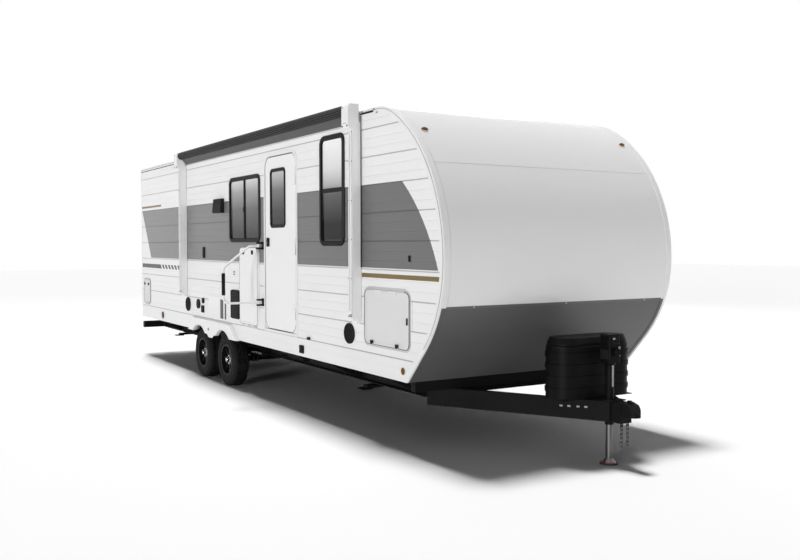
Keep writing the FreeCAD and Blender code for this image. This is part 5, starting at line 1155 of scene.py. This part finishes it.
def makePorts():
    bm, wall = bmesh.new(), -wallY
    wallRibs(bm, *ports["tall"])
    rimPlate(bm, *ports["tall"][:2], ports["tallLip"])
    for name, steps in (("inlet", 40), ("fill", 32)):
        x, z = ports[name + "At"]
        turned(bm, ports[name], (x, wall, z), (0, -1, 0), steps)
    wallBlock(bm, ports["inletAt"], wall, ports["inletLatch"])
    for centre, rows in ports["covers"]:
        wallPlates(bm, centre, wall, rows)
    settle("port_covers", bm, "portPlastic", "chassis")
    bm = bmesh.new()
    for centre, rows in ports["smallCovers"]:
        wallPlates(bm, centre, wall, rows)
    for centre in ports["clips"]:
        wallBlock(bm, centre, wall, ports["clip"])
    wallRibs(bm, *ports["hood"])
    settle("small_ports", bm, "sealRubber", "chassis")


def makeServiceLouvres():
    bm, face, count = bmesh.new(), ports["louvreY"], ports["louvreCount"]
    for area in ports["louvres"]:
        rimPlate(bm, area, face, ports["louvrePlate"])
        low, top = area[2:]
        heights = [low + (top - low) * (index + 0.5) / count for index in range(count)]
        wallRibs(bm, area, face, heights, ports["louvre"])
    settle("service_louvres", bm, "louvreGrey", "chassis")


# Assist handle's foam grip, with its rings, and the step's ribs

handle = {
    "x": -4.250,
    "outY": -1.777,
    "gripZ": (1.238, 1.492),
    "radius": 0.0196,
    "bore": 0.0135,
    "rings": 13,
    "ringEnd": 0.012,
}

step = {
    "x": (-4.024, -3.476),
    "y": (-1.191, -0.956),
    "topZ": 0.600,
    "ribs": 11,
}


def makeHandleTrim():
    bm = bmesh.new()
    low, top = handle["gripZ"]
    radius, bore, end = handle["radius"], handle["bore"], handle["ringEnd"]
    wide = (top - low - 2 * end) / handle["rings"]
    profile = [(bore, 0.0), (radius - 0.003, 0.0), (radius, 0.004)]
    for index in range(handle["rings"]):
        start = end + index * wide
        profile += [(radius + 0.0008, start), (radius + 0.0008, start + wide * 0.72),
                    (radius - 0.0003, start + wide * 0.78), (radius - 0.0003, start + wide * 0.96)]
    profile += [(radius, top - low - 0.004), (radius - 0.003, top - low), (bore, top - low)]
    turned(bm, profile, (handle["x"], handle["outY"], low), (0, 0, 1), 28)
    settle("foam_grip", bm, "sealRubber", "assist_handle")


def makeStepGrip():
    bm = bmesh.new()
    (rear, ahead), (near, far), face = step["x"], step["y"], step["topZ"]
    for index in range(step["ribs"]):
        y = near + 0.02 + index * (far - near - 0.04) / (step["ribs"] - 1)
        block(bm, (rear + 0.02, y - 0.003, face - 0.001), (ahead - 0.02, y + 0.003, face + 0.0022), 0.001)
    settle("step_grip", bm, "portPlastic", "step_tread")


# Jack and hitch: head panel and switches, pale plates, tongue tags, foot cover and leg tag

hitch = {
    # two corners, easing and, where it isn't two, the number of steps
    "panels": (((0.058, -0.040, 0.997), (0.0635, 0.040, 1.064), 0.003),
               ((-0.045, -0.0625, 0.872), (0.045, -0.0585, 0.952), 0.004)),
    "plates": (((0.061, 0.034, 0.897), (0.0642, 0.055, 0.977), 0.001),
               ((0.0622, -0.030, 1.036), (0.0648, -0.004, 1.052), 0.001),
               ((0.0353, -0.010, 0.645), (0.0377, 0.010, 0.825), 0.0008, 1)),
    "tag": ((-0.013, -0.0012, -0.0075), (0.013, 0.0012, 0.0075), 0.0008, 1),
    "switches": ((0.063, -0.022, 1.020), (0.063, 0.0, 1.020), (0.063, 0.022, 1.020)),
    "switch": ((0.0, 0.012), (0.004, 0.012), (0.0045, 0.005), (0.007, 0.004), (0.007, 0.0)),
    "tags": ((-0.274, -0.2834, 0.468), (-0.216, -0.2476, 0.470), (-0.150, -0.2077, 0.472), (-0.093, -0.173, 0.474)),
    "tagTurn": 31.2,
    "footCover": ((0.0575, 0.0128), (0.0722, 0.0128), (0.0786, 0.0004), (0.0786, 0.0), (0.060, 0.0)),
    "legTag": ((0.0570, 0.0128), (0.0600, 0.0128), (0.0545, 0.0205), (0.0520, 0.0200)),
}


def makeHitchTrim():
    bm = bmesh.new()
    for row in hitch["panels"]:
        block(bm, *row)
    for place in hitch["switches"]:
        turned(bm, hitch["switch"], place, (1, 0, 0), 12)
    settle("jack_switches", bm, "sealRubber", "chassis")
    bm = bmesh.new()
    for row in hitch["plates"]:
        block(bm, *row)
    turn = Matrix.Rotation(math.radians(hitch["tagTurn"]), 4, "Z")
    for spot in hitch["tags"]:
        bmesh.ops.translate(bm, vec=spot, verts=block(bm, *hitch["tag"], turn=turn))
    settle("hitch_plates", bm, "tagGrey", "chassis")
    for name, profile, steps, finish, slot in (
            ("jack_foot_cover", "footCover", 48, "portPlastic", "chassis_black"),
            ("jack_leg_tag", "legTag", 40, "redLens", "lamp_red")):
        bm = bmesh.new()
        turned(bm, hitch[profile], (0, 0, 0), (0, 0, 1), steps)
        settle(name, bm, finish, "tongue_jack_leg")


# Cabin: vinyl boards on the floor, with their joints open

cabin = {
    "boards": 10,
    "x": (-9.34, -1.30),
    "halfY": 0.90,
    "z": (0.7195, 0.7235),
    "joint": 0.0015,
}


def makeCabinFloor():
    bm = bmesh.new()
    rear, ahead = cabin["x"]
    low, top = cabin["z"]
    wide = 2 * cabin["halfY"] / cabin["boards"]
    for index in range(cabin["boards"]):
        y = -cabin["halfY"] + wide * index
        block(bm, (rear, y + cabin["joint"], low), (ahead, y + wide - cabin["joint"], top), 0.001)
    settle("cabin_boards", bm, "cabinVinyl", "chassis")


# Bumper caps, spring bolts with their plates, skirt plugs, air conditioner's slots, roof screws

under = {
    # centre x, end y, centre z, half side
    "bumper": (-9.49, 1.257, 0.486, 0.0445),
    "boltX": 0.042,
    "boltY": 0.028,
    "bolt": ((0.0, 0.0), (0.005, 0.0), (0.006, 0.001), (0.006, 0.112), (0.005, 0.113), (0.0, 0.113)),
    "boltZ": 0.292,
    "nut": ((0.0, 0.010), (0.011, 0.010), (0.011, 0.0), (0.0, 0.0)),
    "nutZ": 0.296,
    "springY": 0.9,
    "springPlate": (0.055, 0.037, 0.2965, 0.3045),
    "bossAt": (-6.035, 0.688),
    "boss": ((0.0, 0.003), (0.0078, 0.003), (0.0104, 0.0015), (0.01872, 0.0025), (0.01924, 0.0)),
    "skirtFace": 1.343,
}

roof = {
    # centre x, length, width, low z, top z
    "ac": (-5.95, 1.18, 0.76, 3.06, 3.37),
    "acScrews": 5,
    "acSlots": 9,
    "slotGap": 0.022,
    "vents": (-3.2, -8.0),
    "ventScrew": 0.17,
    "ventZ": 3.1298,
}


def makeUnderTrim():
    bm = bmesh.new()
    x, y, z, half = under["bumper"]
    for sign in side.values():
        block(bm, (x - half, sign * (y - 0.012), z - half), (x + half, sign * y, z + half), 0.003)
    settle("bumper_caps", bm, "portPlastic", "chassis")
    bm = bmesh.new()
    halfX, halfY, low, top = under["springPlate"]
    for end, hubX in tyre["axles"]:
        for sign in side.values():
            middle = sign * under["springY"]
            for x in (hubX - under["boltX"], hubX + under["boltX"]):
                for y in (middle - under["boltY"], middle + under["boltY"]):
                    turned(bm, under["bolt"], (x, y, under["boltZ"]), (0, 0, 1), 10)
                    turned(bm, under["nut"], (x, y, under["nutZ"]), (0, 0, 1), 6)
            block(bm, (hubX - halfX, middle - halfY, low), (hubX + halfX, middle + halfY, top), 0.001)
    settle("spring_bolts", bm, "darkScrew", "chassis")
    bm = bmesh.new()
    x, z = under["bossAt"]
    for sign in side.values():
        turned(bm, under["boss"], (x, sign * under["skirtFace"], z), (0, sign, 0), 28)
    settle("skirt_plugs", bm, "darkScrew", "chassis")


def makeRoofTrim():
    screws, slots = bmesh.new(), bmesh.new()
    middle, length, wide, low, top = roof["ac"]
    for sign in side.values():
        for index in range(roof["acScrews"]):
            x = middle - length * 0.32 + index * length * 0.16
            screw(screws, (x, sign * (wide / 2 - 0.0005), low + 0.045), (0, sign, 0), 0.008)
        for index in range(roof["acSlots"]):
            x = middle - length / 2 + 0.10 + index * roof["slotGap"]
            block(slots, (x - 0.005, sign * wide / 2 - 0.002, low + 0.10),
                  (x + 0.005, sign * wide / 2 + 0.0015, top - 0.07), 0.001)
    half = roof["ventScrew"]
    for middle in roof["vents"]:
        for x in (middle - half, middle + half):
            for y in (-half, half):
                screw(screws, (x, y, roof["ventZ"]), (0, 0, 1), 0.006)
    settle("ac_slots", slots, "louvreGrey", "chassis")
    settle("roof_screws", screws, "millAlloy", "chassis")


makeTyres()
makeWheelTrim()
print("wheels trimmed")
makeGlazing()
makeDoorTrim()
makeHatchTrim()
print("windows, door and hatches trimmed")
makeLamps()
print("lamps made")
makeCapBorder()
makeMouldInserts()
makeAwningTrim()
print("front and awning trimmed")
makeSpeakers()
makePorts()
makeServiceLouvres()
makeHandleTrim()
makeStepGrip()
makeHitchTrim()
makeCabinFloor()
makeUnderTrim()
makeRoofTrim()
print("ports, handle, hitch, underside and roof trimmed")

bpy.context.scene.view_settings.view_transform = "Standard"
